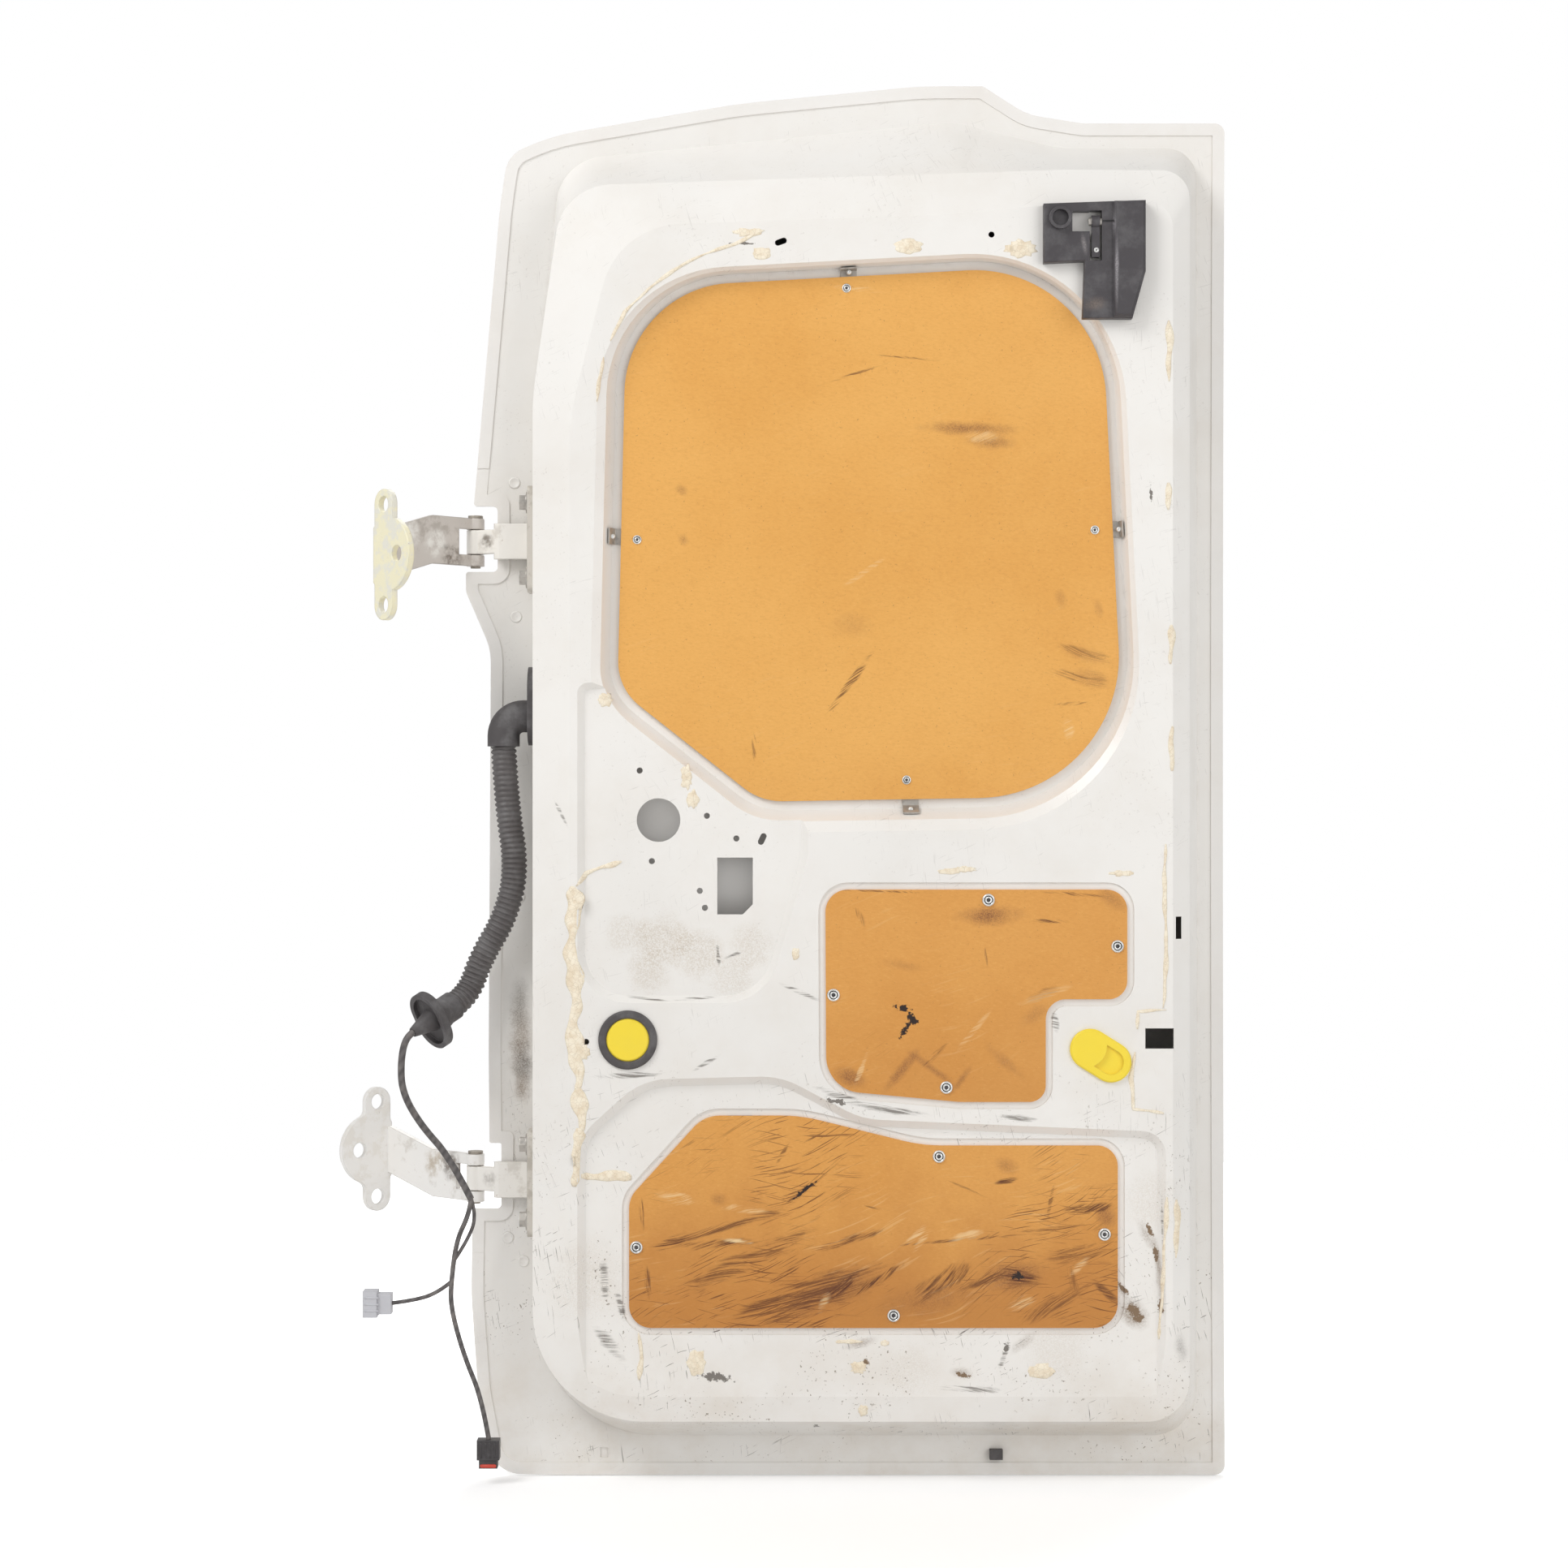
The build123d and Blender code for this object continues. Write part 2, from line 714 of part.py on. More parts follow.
def window_clip(start, end, share):
    """Bent strip under the window board's edge and up the slope of the recess."""
    ax, az = start
    bx, bz = end
    length = hypot(bx - ax, bz - az)
    outward = Vector((bz - az) / length, 0, (ax - bx) / length)
    along = Vector((bx - ax) / length, 0, (bz - az) / length)
    shifted = slope_shift[0] * outward.X + slope_shift[1] * outward.Z
    lean = (window_slope - ledge_width + shifted) / (window_floor - lip_depth)
    foot = ledge_width - clip_gap
    top = foot + lean * clip_height
    edge = Vector(ax + share * (bx - ax), -window_seat, az + share * (bz - az))
    with BuildPart() as clip:
        with BuildSketch(Plane(origin=edge, x_dir=outward, z_dir=-along)):
            with BuildLine():
                Polyline(
                    (-clip_reach, 0),
                    (foot, 0),
                    (top, clip_height),
                    (top - clip_thickness, clip_height),
                    (foot - clip_thickness, clip_thickness),
                    (-clip_reach, clip_thickness),
                    close=True,
                )
            make_face()
        extrude(amount=clip_width / 2, both=True)
    return clip.part


bottom_left, bottom_right, top_right, top_left, side_left = window_points
piece(window_clip(top_right, top_left, 0.53), "window_clip_top")
piece(window_clip(top_left, side_left, 0.62), "window_clip_left")
piece(window_clip(bottom_right, top_right, 0.5), "window_clip_right")
piece(window_clip(bottom_left, bottom_right, 0.41), "window_clip_bottom")

with BuildPart() as round_plug_ring:
    with BuildSketch(Plane.XZ.offset(face_depth)):
        with Locations(ring_place):
            Circle(ring_radius)
            Circle(cap_radius, mode=Mode.SUBTRACT)
    extrude(amount=ring_height)
    chamfer(round_plug_ring.edges().group_by(Axis.Y)[0], length=plug_chamfer)
piece(round_plug_ring.part, "round_plug_ring")

with BuildPart() as round_plug_cap:
    with BuildSketch(Plane.XZ.offset(face_depth - cap_height / 2)):
        with Locations(ring_place):
            Circle(cap_radius)
    extrude(amount=cap_height)
    chamfer(round_plug_cap.edges().group_by(Axis.Y)[0], length=plug_chamfer)
piece(round_plug_cap.part, "round_plug_cap")

# Oval plug: lip on the face, hollow body through the hole, and a crescent grip at one end
with BuildPart() as oval_plug:
    with BuildSketch(Plane.XZ.offset(face_depth)):
        with Locations(oval_place):
            SlotOverall(oval_length, oval_width, rotation=oval_tilt)
    extrude(amount=oval_height)
    chamfer(oval_plug.edges().group_by(Axis.Y)[0], length=plug_chamfer)
    with BuildSketch(Plane.XZ.offset(face_depth - 2 * oval_height)):
        with Locations(oval_place):
            SlotOverall(oval_length - 2 * oval_lip, oval_width - 2 * oval_lip, rotation=oval_tilt)
    extrude(amount=2 * oval_height)
    with BuildSketch(Plane.XZ.offset(face_depth + oval_height / 4)):
        with Locations(Location((oval_place[0], oval_place[1], 0), (0, 0, oval_tilt))):
            SlotOverall(oval_length - 2.6 * oval_lip, oval_width - 2.6 * oval_lip)
            with Locations((-0.27 * oval_length, 0)):
                Circle(0.52 * oval_width, mode=Mode.SUBTRACT)
    extrude(amount=2 * oval_height, mode=Mode.SUBTRACT)
piece(oval_plug.part, "oval_plug")

# Upper latch: moulded cover with a raised side, its bush, axle and hanging lever
cover_left = across(0.797)
cover_right = cover_left + cover_width
cover_top = up(0.908)
cover_bottom = cover_top - cover_drop
axle_x = cover_left + 0.47 * cover_width
axle_z = cover_top - 0.18 * cover_drop
axle_depth = face_depth + axle_rise
cover_shares = [(0, 0.97), (0, 0.47), (0.4, 0.485), (0.38, 0), (0.87, 0), (1, 0.4), (1, 1)]
ridge_shares = [(0.69, 0.985), (0.69, 0.01), (0.86, 0.01), (0.99, 0.4), (0.99, 0.985)]
with BuildPart() as latch_cover:
    with BuildSketch(Plane.XZ.offset(face_depth)):
        with BuildLine():
            Polyline(*laid(cover_left, cover_bottom, cover_right, cover_top, cover_shares), close=True)
        make_face()
    extrude(amount=cover_height)
    chamfer(latch_cover.edges().group_by(Axis.Y)[0], length=cover_chamfer)
    with BuildSketch(Plane.XZ.offset(face_depth)):
        with BuildLine():
            Polyline(*laid(cover_left, cover_bottom, cover_right, cover_top, ridge_shares), close=True)
        make_face()
    extrude(amount=cover_height + cover_ridge)
    chamfer(latch_cover.edges().group_by(Axis.Y)[0], length=2 * cover_chamfer)
    with BuildSketch(Plane.XZ.offset(face_depth)):
        with Locations((cover_left + 0.425 * cover_width, axle_z)):
            Rectangle(0.29 * cover_width, 5 * axle_radius)
        with Locations((axle_x + lever_width / 2, axle_z - 0.4 * lever_length)):
            Rectangle(1.5 * lever_width, 1.4 * lever_length)
    extrude(amount=2 * cover_height, mode=Mode.SUBTRACT)
    with BuildSketch(Plane.YZ.offset(axle_x)):
        with Locations((-axle_depth, axle_z)):
            Circle(axle_radius)
    extrude(amount=axle_length - 3, mode=Mode.SUBTRACT)
piece(latch_cover.part, "latch_cover")

with BuildPart() as latch_axle:
    with BuildSketch(Plane.YZ.offset(axle_x - 3)):
        with Locations((-axle_depth, axle_z)):
            Circle(axle_radius)
    extrude(amount=axle_length)
piece(latch_axle.part, "latch_axle")

with BuildPart() as latch_lever:
    with BuildSketch(Plane.YZ.offset(axle_x)):
        with Locations((-axle_depth, axle_z)):
            Circle(1.5 * axle_radius)
        with Locations((-axle_depth, axle_z - lever_length / 2)):
            Rectangle(axle_radius, lever_length)
        with Locations((-axle_depth, axle_z)):
            Circle(axle_radius + pin_play, mode=Mode.SUBTRACT)
    extrude(amount=lever_width)
piece(latch_lever.part, "latch_lever")

with BuildPart() as latch_bush:
    with BuildSketch(Plane.XZ.offset(face_depth + cover_height)):
        with Locations((cover_left + 0.16 * cover_width, cover_top - 0.155 * cover_drop)):
            Circle(bush_radius)
            Circle(bush_bore, mode=Mode.SUBTRACT)
    extrude(amount=cover_height / 2)
piece(latch_bush.part, "latch_bush")

# Rubber stop on the bottom flange, seated on the crown
block_z = door_bottom + 21.0
block_seat = crown_depth(block_z - block_height / 2, skin_depth + 2 * sheet) + pin_play
with BuildPart() as drain_block:
    with BuildSketch(Plane.XZ.offset(block_seat)):
        with Locations((across(0.731), block_z)):
            Rectangle(block_width, block_height)
    extrude(amount=block_depth)
piece(drain_block.part, "drain_block")

# Wiring: grommet and elbow on the side wall, conduit, pillar grommet and loom
exit_depth = pin_depth + exit_inset
grommet_z = up(0.553)
elbow_x = wall_x - elbow_reach
conduit_top = grommet_z - elbow_drop


def cord(start, span, shares, radius, name):
    """Round cord from a start, through points given as shares of a span: x, depth, z."""
    x, depth, z = start
    route = [(x + a * span, -depth - b * span, z + c * span) for a, b, c in shares]
    radii = bend_radii(route)
    with BuildPart() as tube:
        with BuildLine() as path:
            FilletPolyline(*route, radius=radii)
        with BuildSketch(Plane(origin=path.line @ 0, z_dir=path.line % 0)):
            Circle(radius)
        sweep()
    piece(tube.part, name)
    return route


with BuildPart() as door_grommet:
    with BuildSketch(Plane.YZ.offset(wall_x)):
        with Locations((-exit_depth, grommet_z)):
            SlotOverall(grommet_length, grommet_width, rotation=90)
    extrude(amount=-grommet_thickness)
    with BuildLine() as elbow:
        FilletPolyline(
            (wall_x - grommet_thickness + 1, -exit_depth, grommet_z - elbow_drop / 4),
            (elbow_x, -exit_depth, grommet_z - elbow_drop / 4),
            (elbow_x, -exit_depth, conduit_top),
            radius=1.5 * conduit_radius,
        )
    with BuildSketch(Plane(origin=elbow.line @ 0, z_dir=elbow.line % 0)):
        Circle(conduit_radius + 2 * sheet)
    sweep()
piece(door_grommet.part, "door_grommet")

conduit_route = cord(
    (elbow_x, exit_depth, conduit_top),
    conduit_drop,
    [
        (0, 0, 0),
        (0.011, -0.008, -0.22),
        (0.049, -0.025, -0.475),
        (0.004, -0.037, -0.66),
        (-0.091, -0.043, -0.82),
        (-0.141, -0.038, -0.965),
        (-0.193, 0.008, -1),
    ],
    conduit_radius,
    "conduit",
)

# Pillar grommet on the end of the conduit, in line with its last run: flared, with a cupped lip
far_end = Vector(*conduit_route[-1])
far_run = (far_end - Vector(*conduit_route[-2])).normalized()
far_plane = Plane(origin=far_end, x_dir=far_run.cross(Vector(0, 0, 1)), z_dir=far_run)
collar_length = 12.0
flare_length = 14.0
far_flange = 8.0
cup_depth = 5.0
cup_wall = 5.0
sleeve_length = 26.0
far_length = 60.0
far_width = 46.0
lip_reach = collar_length + flare_length
cup_reach = lip_reach + far_flange - cup_depth
with BuildPart() as far_grommet:
    with BuildSketch(far_plane):
        Circle(conduit_radius + sheet)
    extrude(amount=collar_length)
    with BuildSketch(far_plane.offset(collar_length)):
        Circle(conduit_radius + sheet)
    with BuildSketch(far_plane.offset(lip_reach)):
        Circle(0.4 * far_width)
    loft()
    with BuildSketch(far_plane.offset(lip_reach)):
        SlotOverall(far_length, far_width, rotation=90)
    extrude(amount=far_flange)
    with BuildSketch(far_plane.offset(cup_reach)):
        SlotOverall(far_length - 2 * cup_wall, far_width - 2 * cup_wall, rotation=90)
    extrude(amount=cup_depth, mode=Mode.SUBTRACT)
    with BuildSketch(far_plane.offset(cup_reach)):
        Circle(conduit_radius - 1)
    with BuildSketch(far_plane.offset(cup_reach + sleeve_length)):
        Circle(loom_radius + sheet)
    loft()
piece(far_grommet.part, "far_grommet")

loom_start = far_end + far_run * (cup_reach + sleeve_length)
loom_route = cord(
    (loom_start.X, -loom_start.Y, loom_start.Z),
    loom_drop,
    [
        (0, 0, 0),
        (-0.04, 0.036, -0.027),
        (-0.067, 0.042, -0.173),
        (-0.061, 0.018, -0.352),
        (0.041, -0.042, -0.55),
        (0.21, -0.095, -0.75),
        (0.331, -0.125, -1),
    ],
    loom_radius,
    "loom",
)
split_x, split_y, split_z = loom_route[-1]
split = (split_x, -split_y, split_z)
tail_route = cord(
    split,
    tail_drop,
    [
        (0, 0, 0),
        (-0.006, 0, -0.06),
        (-0.06, 0, -0.17),
        (-0.082, 0, -0.345),
        (-0.084, 0, -0.454),
        (-0.03, 0, -0.65),
        (0.045, 0, -0.83),
        (0.074, 0, -1),
    ],
    tail_radius,
    "loom_tail",
)
cord(
    split,
    tail_drop,
    [
        (0.008, -0.018, 0.021),
        (0.022, -0.021, -0.07),
        (-0.012, -0.02, -0.17),
        (-0.062, -0.018, -0.26),
    ],
    strand_radius,
    "loom_strand",
)
branch_route = cord(
    split,
    tail_drop,
    [
        (-0.082, 0, -0.345),
        (-0.139, 0.002, -0.391),
        (-0.233, 0.004, -0.421),
        (-0.328, 0.004, -0.433),
    ],
    branch_radius,
    "loom_branch",
)

# Connectors: a stepped housing on the end of the branch and of the tail
plug_length = 28.0
plug_height = 26.0
plug_depth = 20.0
branch_x, branch_y, branch_z = branch_route[-1]
with BuildPart() as grey_connector:
    with BuildSketch(Plane.YZ.offset(branch_x)):
        with Locations((branch_y, branch_z)):
            Rectangle(0.8 * plug_depth, 0.77 * plug_height)
    extrude(amount=-plug_length / 2)
    with BuildSketch(Plane.YZ.offset(branch_x - plug_length / 2)):
        with Locations((branch_y, branch_z)):
            Rectangle(plug_depth, plug_height)
    extrude(amount=-plug_length / 2)
piece(grey_connector.part, "grey_connector")

tail_x, tail_y, tail_z = tail_route[-1]
with BuildPart() as black_connector:
    with BuildSketch(Plane.XY.offset(tail_z)):
        with Locations((tail_x, tail_y)):
            Rectangle(0.85 * plug_height, 0.8 * plug_depth)
    extrude(amount=-0.7 * plug_length)
    with BuildSketch(Plane.XY.offset(tail_z - 0.7 * plug_length)):
        with Locations((tail_x, tail_y)):
            Rectangle(0.7 * plug_height, 0.65 * plug_depth)
    extrude(amount=-0.3 * plug_length)
piece(black_connector.part, "black_connector")
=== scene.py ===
"""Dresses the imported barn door: paint, boards, wiring, fasteners, sealant and wear."""

import math
from functools import cached_property

import bmesh
import bpy
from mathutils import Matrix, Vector


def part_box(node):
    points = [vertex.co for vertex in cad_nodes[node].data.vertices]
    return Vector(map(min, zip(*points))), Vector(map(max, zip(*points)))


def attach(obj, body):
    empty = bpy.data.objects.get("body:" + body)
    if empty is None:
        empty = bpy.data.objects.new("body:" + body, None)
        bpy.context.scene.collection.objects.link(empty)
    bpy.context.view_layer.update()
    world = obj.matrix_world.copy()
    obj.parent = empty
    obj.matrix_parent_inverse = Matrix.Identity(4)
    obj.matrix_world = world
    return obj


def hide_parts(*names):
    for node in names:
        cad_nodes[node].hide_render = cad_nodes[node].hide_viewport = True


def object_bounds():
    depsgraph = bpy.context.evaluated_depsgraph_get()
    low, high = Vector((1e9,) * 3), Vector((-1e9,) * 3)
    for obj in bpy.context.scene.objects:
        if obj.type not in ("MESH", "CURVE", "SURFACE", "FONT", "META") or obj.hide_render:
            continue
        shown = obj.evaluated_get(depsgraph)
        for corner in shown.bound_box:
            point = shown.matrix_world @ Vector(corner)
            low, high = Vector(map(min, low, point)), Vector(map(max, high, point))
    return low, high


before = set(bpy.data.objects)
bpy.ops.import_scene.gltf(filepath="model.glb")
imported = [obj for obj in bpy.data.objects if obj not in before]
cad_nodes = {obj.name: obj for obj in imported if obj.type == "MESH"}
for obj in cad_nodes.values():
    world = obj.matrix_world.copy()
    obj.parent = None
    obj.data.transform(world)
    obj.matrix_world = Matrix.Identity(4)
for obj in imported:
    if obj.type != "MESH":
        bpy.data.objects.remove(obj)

cad_low, cad_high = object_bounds()

# Front of each board, as a place along Y
window_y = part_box("window_board")[0].y
middle_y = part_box("middle_board")[0].y
lower_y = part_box("lower_board")[0].y

# Photograph: its size in pixels and the camera fitted to it
photo_size = 1932
eye = Vector((0.4237, -3.368, 0.3775))
lens = 74.66
sensor = 36.0


def at_pixel(px, py, y):
    """Point that the photograph shows at a pixel, on the upright plane at y."""
    scale = (y - eye.y) * sensor / lens / photo_size
    return Vector((eye.x + (px - photo_size / 2) * scale, y, eye.z - (py - photo_size / 2) * scale))


def seat(px, py, node="inner_panel"):
    """Point and outward direction of a node where the photograph shows it at a pixel."""
    way = (at_pixel(px, py, 0.0) - eye).normalized()
    found, place, outward, _ = cad_nodes[node].ray_cast(eye, way)
    if not found:
        raise ValueError(f"{node} is not seen at {px}, {py}")
    return place, outward


def on_node(marks, node="inner_panel"):
    """The marks, with the pixel that starts each turned into a place on the node."""
    return [(seat(*pixel, node)[0], *rest) for pixel, *rest in marks]


def wave(seed, place):
    """Smooth repeatable wobble between -1 and 1."""
    return 0.6 * math.sin(7.1 * seed + 5.3 * place) + 0.4 * math.sin(3.7 * seed + 12.9 * place)


# Shader building blocks


class Shader:
    """A material whose nodes are added by short calls."""

    def __init__(self, name):
        self.material = bpy.data.materials.new(name)
        self.material.use_nodes = True
        self.tree = self.material.node_tree
        self.surface = self.tree.nodes["Principled BSDF"]
        self.coords = self.tree.nodes.new("ShaderNodeTexCoord").outputs["Object"]

    def node(self, kind, inputs, output=0, **settings):
        made = self.tree.nodes.new(kind)
        for name, value in settings.items():
            setattr(made, name, value)
        for name, value in inputs.items():
            self.put(made.inputs[name], value)
        return made.outputs[output]

    def put(self, socket, value):
        if isinstance(value, bpy.types.NodeSocket):
            self.tree.links.new(value, socket)
        else:
            socket.default_value = value

    def set(self, **values):
        for name, value in values.items():
            self.put(self.surface.inputs[name.replace("_", " ")], value)

    def noise(self, scale, detail=3.0, roughness=0.55, vector=None):
        inputs = {"Scale": scale, "Detail": detail, "Roughness": roughness, "Vector": vector or self.coords}
        return self.node("ShaderNodeTexNoise", inputs)

    def placed(self, turn, scale, centre=(0, 0, 0), vector=None):
        """Coordinates about a centre, turned about Y, with the given lengths as their units."""
        inputs = {
            "Vector": vector or self.coords,
            "Location": tuple(centre),
            "Rotation": (0, math.radians(turn), 0),
            "Scale": scale,
        }
        return self.node("ShaderNodeMapping", inputs, vector_type="TEXTURE")

    @cached_property
    def ragged(self):
        """Noise that tears the edges of patches."""
        return self.noise(45.0, 4.0, 0.7)

    @cached_property
    def shreds(self):
        """Fine noise that tears the edges of small marks."""
        return self.noise(190.0, 5.0, 0.7)

    @cached_property
    def grains(self):
        """Fine broken cover of dust and smears."""
        return self.step(self.noise(850.0, 4.0, 0.7), 0.36, 0.64)

    @cached_property
    def swayed(self):
        """Coordinates bent a little, so that marks along them curve."""
        inputs = {"Scale": 7.0, "Detail": 1.0, "Vector": self.coords}
        sway = self.node("ShaderNodeTexNoise", inputs, "Color")
        bent = {0: sway, 1: (0.05, 0.05, 0.05), 2: self.coords}
        return self.node("ShaderNodeVectorMath", bent, operation="MULTIPLY_ADD")

    def step(self, value, low, high):
        """0 at low, 1 at high, smooth between."""
        inputs = {"Value": value, "From Min": low, "From Max": high}
        return self.node("ShaderNodeMapRange", inputs, interpolation_type="SMOOTHSTEP")

    def maths(self, operation, *values):
        return self.node("ShaderNodeMath", dict(enumerate(values)), operation=operation)

    def times(self, a, b):
        return self.maths("MULTIPLY", a, b)

    def most(self, a, b):
        return self.maths("MAXIMUM", a, b)

    def mix(self, share, a, b):
        """Colour a where share is 0, colour b where it is 1."""
        made = self.tree.nodes.new("ShaderNodeMix")
        made.data_type = "RGBA"
        for socket, value in zip((made.inputs[0], made.inputs[6], made.inputs[7]), (share, a, b)):
            self.put(socket, (*value, 1.0) if isinstance(value, tuple) else value)
        return made.outputs[2]

    @cached_property
    def height(self):
        """Place along Z."""
        return self.node("ShaderNodeSeparateXYZ", {"Vector": self.coords}, "Z")

    def spread(self, centre, turn, reach, breadth):
        """Distance from a point, in units of a mark's half length and half width."""
        own = self.placed(turn, (reach, 0.1, breadth), centre)
        return self.node("ShaderNodeVectorMath", {0: own}, "Value", operation="LENGTH")

    def spot(self, centre, radius):
        """1 inside a ragged round patch about a point, 0 outside."""
        inputs = {0: self.coords, 1: tuple(centre)}
        distance = self.node("ShaderNodeVectorMath", inputs, "Value", operation="DISTANCE")
        torn = self.maths("MULTIPLY_ADD", self.ragged, 0.9 * radius, distance)
        return self.step(torn, 1.45 * radius, 0.8 * radius)

    def smudge(self, centre, turn, reach, breadth):
        """1 in the middle of a soft grainy smear about a point."""
        torn = self.maths("MULTIPLY_ADD", self.ragged, 1.2, self.spread(centre, turn, reach, breadth))
        return self.times(self.step(torn, 1.8, 0.6), self.maths("MULTIPLY_ADD", self.grains, 0.6, 0.4))

    def blot(self, centre, turn, reach, breadth):
        """1 on a solid mark with a torn edge."""
        torn = self.maths("MULTIPLY_ADD", self.shreds, 3.6, self.spread(centre, turn, reach, breadth))
        return self.step(torn, 2.6, 2.4)

    def streaks(self, turn, length, width, low, high):
        """Thin scratches of about the given length and width that run one way."""
        own = self.placed(turn, (length, 0.02, width), vector=self.swayed)
        return self.step(self.noise(1.0, 2.0, 0.5, own), low, high)

    def brush(self, turn):
        """Torn edge and lines shared by all strokes that run about one way."""
        torn = self.noise(1.0, 4.0, 0.65, self.placed(turn, (0.024, 0.1, 0.007), vector=self.swayed))
        lines = self.noise(1.0, 5.0, 0.7, self.placed(turn, (0.045, 0.1, 0.0015), vector=self.swayed))
        return torn, self.step(lines, 0.42, 0.58)

    def stroke(self, brush, centre, turn, reach, breadth):
        """1 on a streaky mark about a point, reach long each way and breadth wide each way."""
        torn, lines = brush
        torn = self.maths("MULTIPLY_ADD", torn, 1.6, self.spread(centre, turn, reach, breadth))
        return self.times(self.step(torn, 1.9, 1.2), lines)

    def bump(self, height, distance, strength, normal=None):
        inputs = {"Height": height, "Distance": distance, "Strength": strength}
        if normal:
            inputs["Normal"] = normal
        self.set(Normal=self.node("ShaderNodeBump", inputs))


def soft_edges(shader, radius):
    """Normal rolled over sharp edges, and a mask of those edges."""
    rolled = shader.node("ShaderNodeBevel", {"Radius": radius}, samples=8)
    flat = shader.tree.nodes.new("ShaderNodeNewGeometry").outputs["Normal"]
    facing = shader.node("ShaderNodeVectorMath", {0: rolled, 1: flat}, "Value", operation="DOT_PRODUCT")
    return rolled, shader.step(facing, 0.93, 0.78)


def white_paint(name, tint, wear, dust=(), smears=(), scuffs=(), blots=()):
    """Old gloss van paint: yellowed film, creases darkened as painted shade in a grimy brown, dust, smears,
    scuffs and chips.
    """
    shader = Shader(name)
    clouds = shader.step(shader.noise(3.2, 4.0), 0.38, 0.66)
    colour = shader.mix(clouds, tint, tuple(0.955 * c for c in tint))
    low = shader.step(shader.height, -0.12, -0.30)
    film = shader.step(shader.noise(9.0, 6.0, 0.65), 0.38, 0.78)
    film = shader.times(film, shader.maths("MULTIPLY_ADD", low, 0.30, 0.14))
    colour = shader.mix(film, colour, (0.57, 0.47, 0.35))
    # Painted shade: creases found by ambient occlusion are darkened in patches towards a grimy brown.
    open_sky = shader.node(
        "ShaderNodeAmbientOcclusion", {"Distance": 0.012}, "AO", samples=6, only_local=True
    )
    patchy = shader.step(shader.noise(38.0, 5.0, 0.7), 0.40, 0.64)
    crease_shade = shader.times(shader.step(open_sky, 0.72, 0.35), patchy)
    colour = shader.mix(shader.times(crease_shade, 0.34), colour, (0.36, 0.29, 0.21))
    for centre, radius, strength in dust:
        patch = shader.times(shader.spot(centre, radius), shader.grains)
        colour = shader.mix(shader.times(patch, strength), colour, (0.46, 0.36, 0.24))
    for centre, turn, reach, breadth, strength, shade in smears:
        smear = shader.smudge(centre, turn, reach, breadth)
        colour = shader.mix(shader.times(smear, strength), colour, shade)
    worn = shader.maths("MULTIPLY_ADD", shader.step(shader.height, 0.16, -0.10), 0.8 * wear, 0.2 * wear)
    specks = shader.step(shader.noise(330.0, 3.0, 0.6), 0.64, 0.69)
    bare = shader.step(shader.noise(13.0, 3.0), 0.47, 0.58)
    specks = shader.times(shader.times(specks, bare), worn)
    colour = shader.mix(shader.times(specks, 0.8), colour, (0.19, 0.14, 0.09))
    ticks = shader.most(
        shader.streaks(-24.0, 0.022, 0.0011, 0.68, 0.71), shader.streaks(78.0, 0.024, 0.0010, 0.67, 0.70)
    )
    rubbed = shader.step(shader.noise(11.0, 3.0), 0.49, 0.58)
    ticks = shader.times(shader.times(ticks, rubbed), worn)
    level = shader.brush(8.0)
    for centre, turn, reach, breadth in scuffs:
        ticks = shader.most(ticks, shader.stroke(level, centre, turn, reach, breadth))
    colour = shader.mix(shader.times(ticks, 0.9), colour, (0.19, 0.17, 0.15))
    for centre, turn, reach, breadth, shade in blots:
        colour = shader.mix(shader.blot(centre, turn, reach, breadth), colour, shade)
    roughness = shader.maths("MULTIPLY_ADD", film, 0.6, 0.30)
    shader.set(Base_Color=colour, Roughness=roughness, Specular_IOR_Level=0.5)
    ripple = shader.maths("MULTIPLY_ADD", shader.noise(260.0, 2.0), 0.2, shader.noise(14.0, 2.0))
    shader.bump(shader.maths("SUBTRACT", ripple, shader.times(ticks, 0.5)), 0.0005, 0.3)
    return shader.material


def hinge_finish(name, coat, worn, bare, patches, plate):
    """Forged hinge: thin coat worn to metal, a flange of its own tone, flakes and grease."""
    shader = Shader(name)
    rolled, edge = soft_edges(shader, 0.0020)
    thin = shader.step(shader.noise(36.0, 5.0, 0.65), 0.56, 0.68)
    thin = shader.most(shader.times(thin, worn), shader.times(edge, 0.6))
    colour = shader.mix(thin, coat, bare)
    way, start, clean, stained = plate
    blend = 0.0008
    along = shader.node("ShaderNodeVectorMath", {0: shader.coords, 1: way}, "Value", operation="DOT_PRODUCT")
    blotch = shader.step(shader.noise(60.0, 5.0, 0.65), 0.46, 0.60)
    flange = shader.mix(blotch, clean, stained)
    colour = shader.mix(shader.step(along, start - blend, start), colour, flange)
    broken = shader.step(shader.noise(120.0, 4.0, 0.6), 0.30, 0.68)
    for centre, radius, strength, shade in patches:
        patch = shader.times(shader.spot(centre, radius), broken)
        colour = shader.mix(shader.times(patch, strength), colour, shade)
    rust = shader.step(shader.noise(150.0, 4.0, 0.7), 0.66, 0.74)
    colour = shader.mix(shader.times(rust, 0.5), colour, (0.30, 0.16, 0.08))
    shader.set(Base_Color=colour, Roughness=0.46, Metallic=0.15)
    shader.bump(shader.noise(200.0, 4.0), 0.0005, 0.5, rolled)
    return shader.material


def bare_steel(name, colour, roughness):
    """Dull steel of clips, rivets, bolts and pins."""
    shader = Shader(name)
    rolled, edge = soft_edges(shader, 0.0008)
    stain = shader.step(shader.noise(130.0, 4.0), 0.45, 0.70)
    tone = shader.mix(shader.times(stain, 0.6), colour, tuple(0.5 * c for c in colour))
    tone = shader.mix(shader.times(edge, 0.5), tone, tuple(min(1.3 * c, 0.9) for c in colour))
    shader.set(Base_Color=tone, Metallic=0.65, Roughness=roughness)
    shader.bump(shader.noise(500.0, 2.0), 0.0002, 0.4, rolled)
    return shader.material


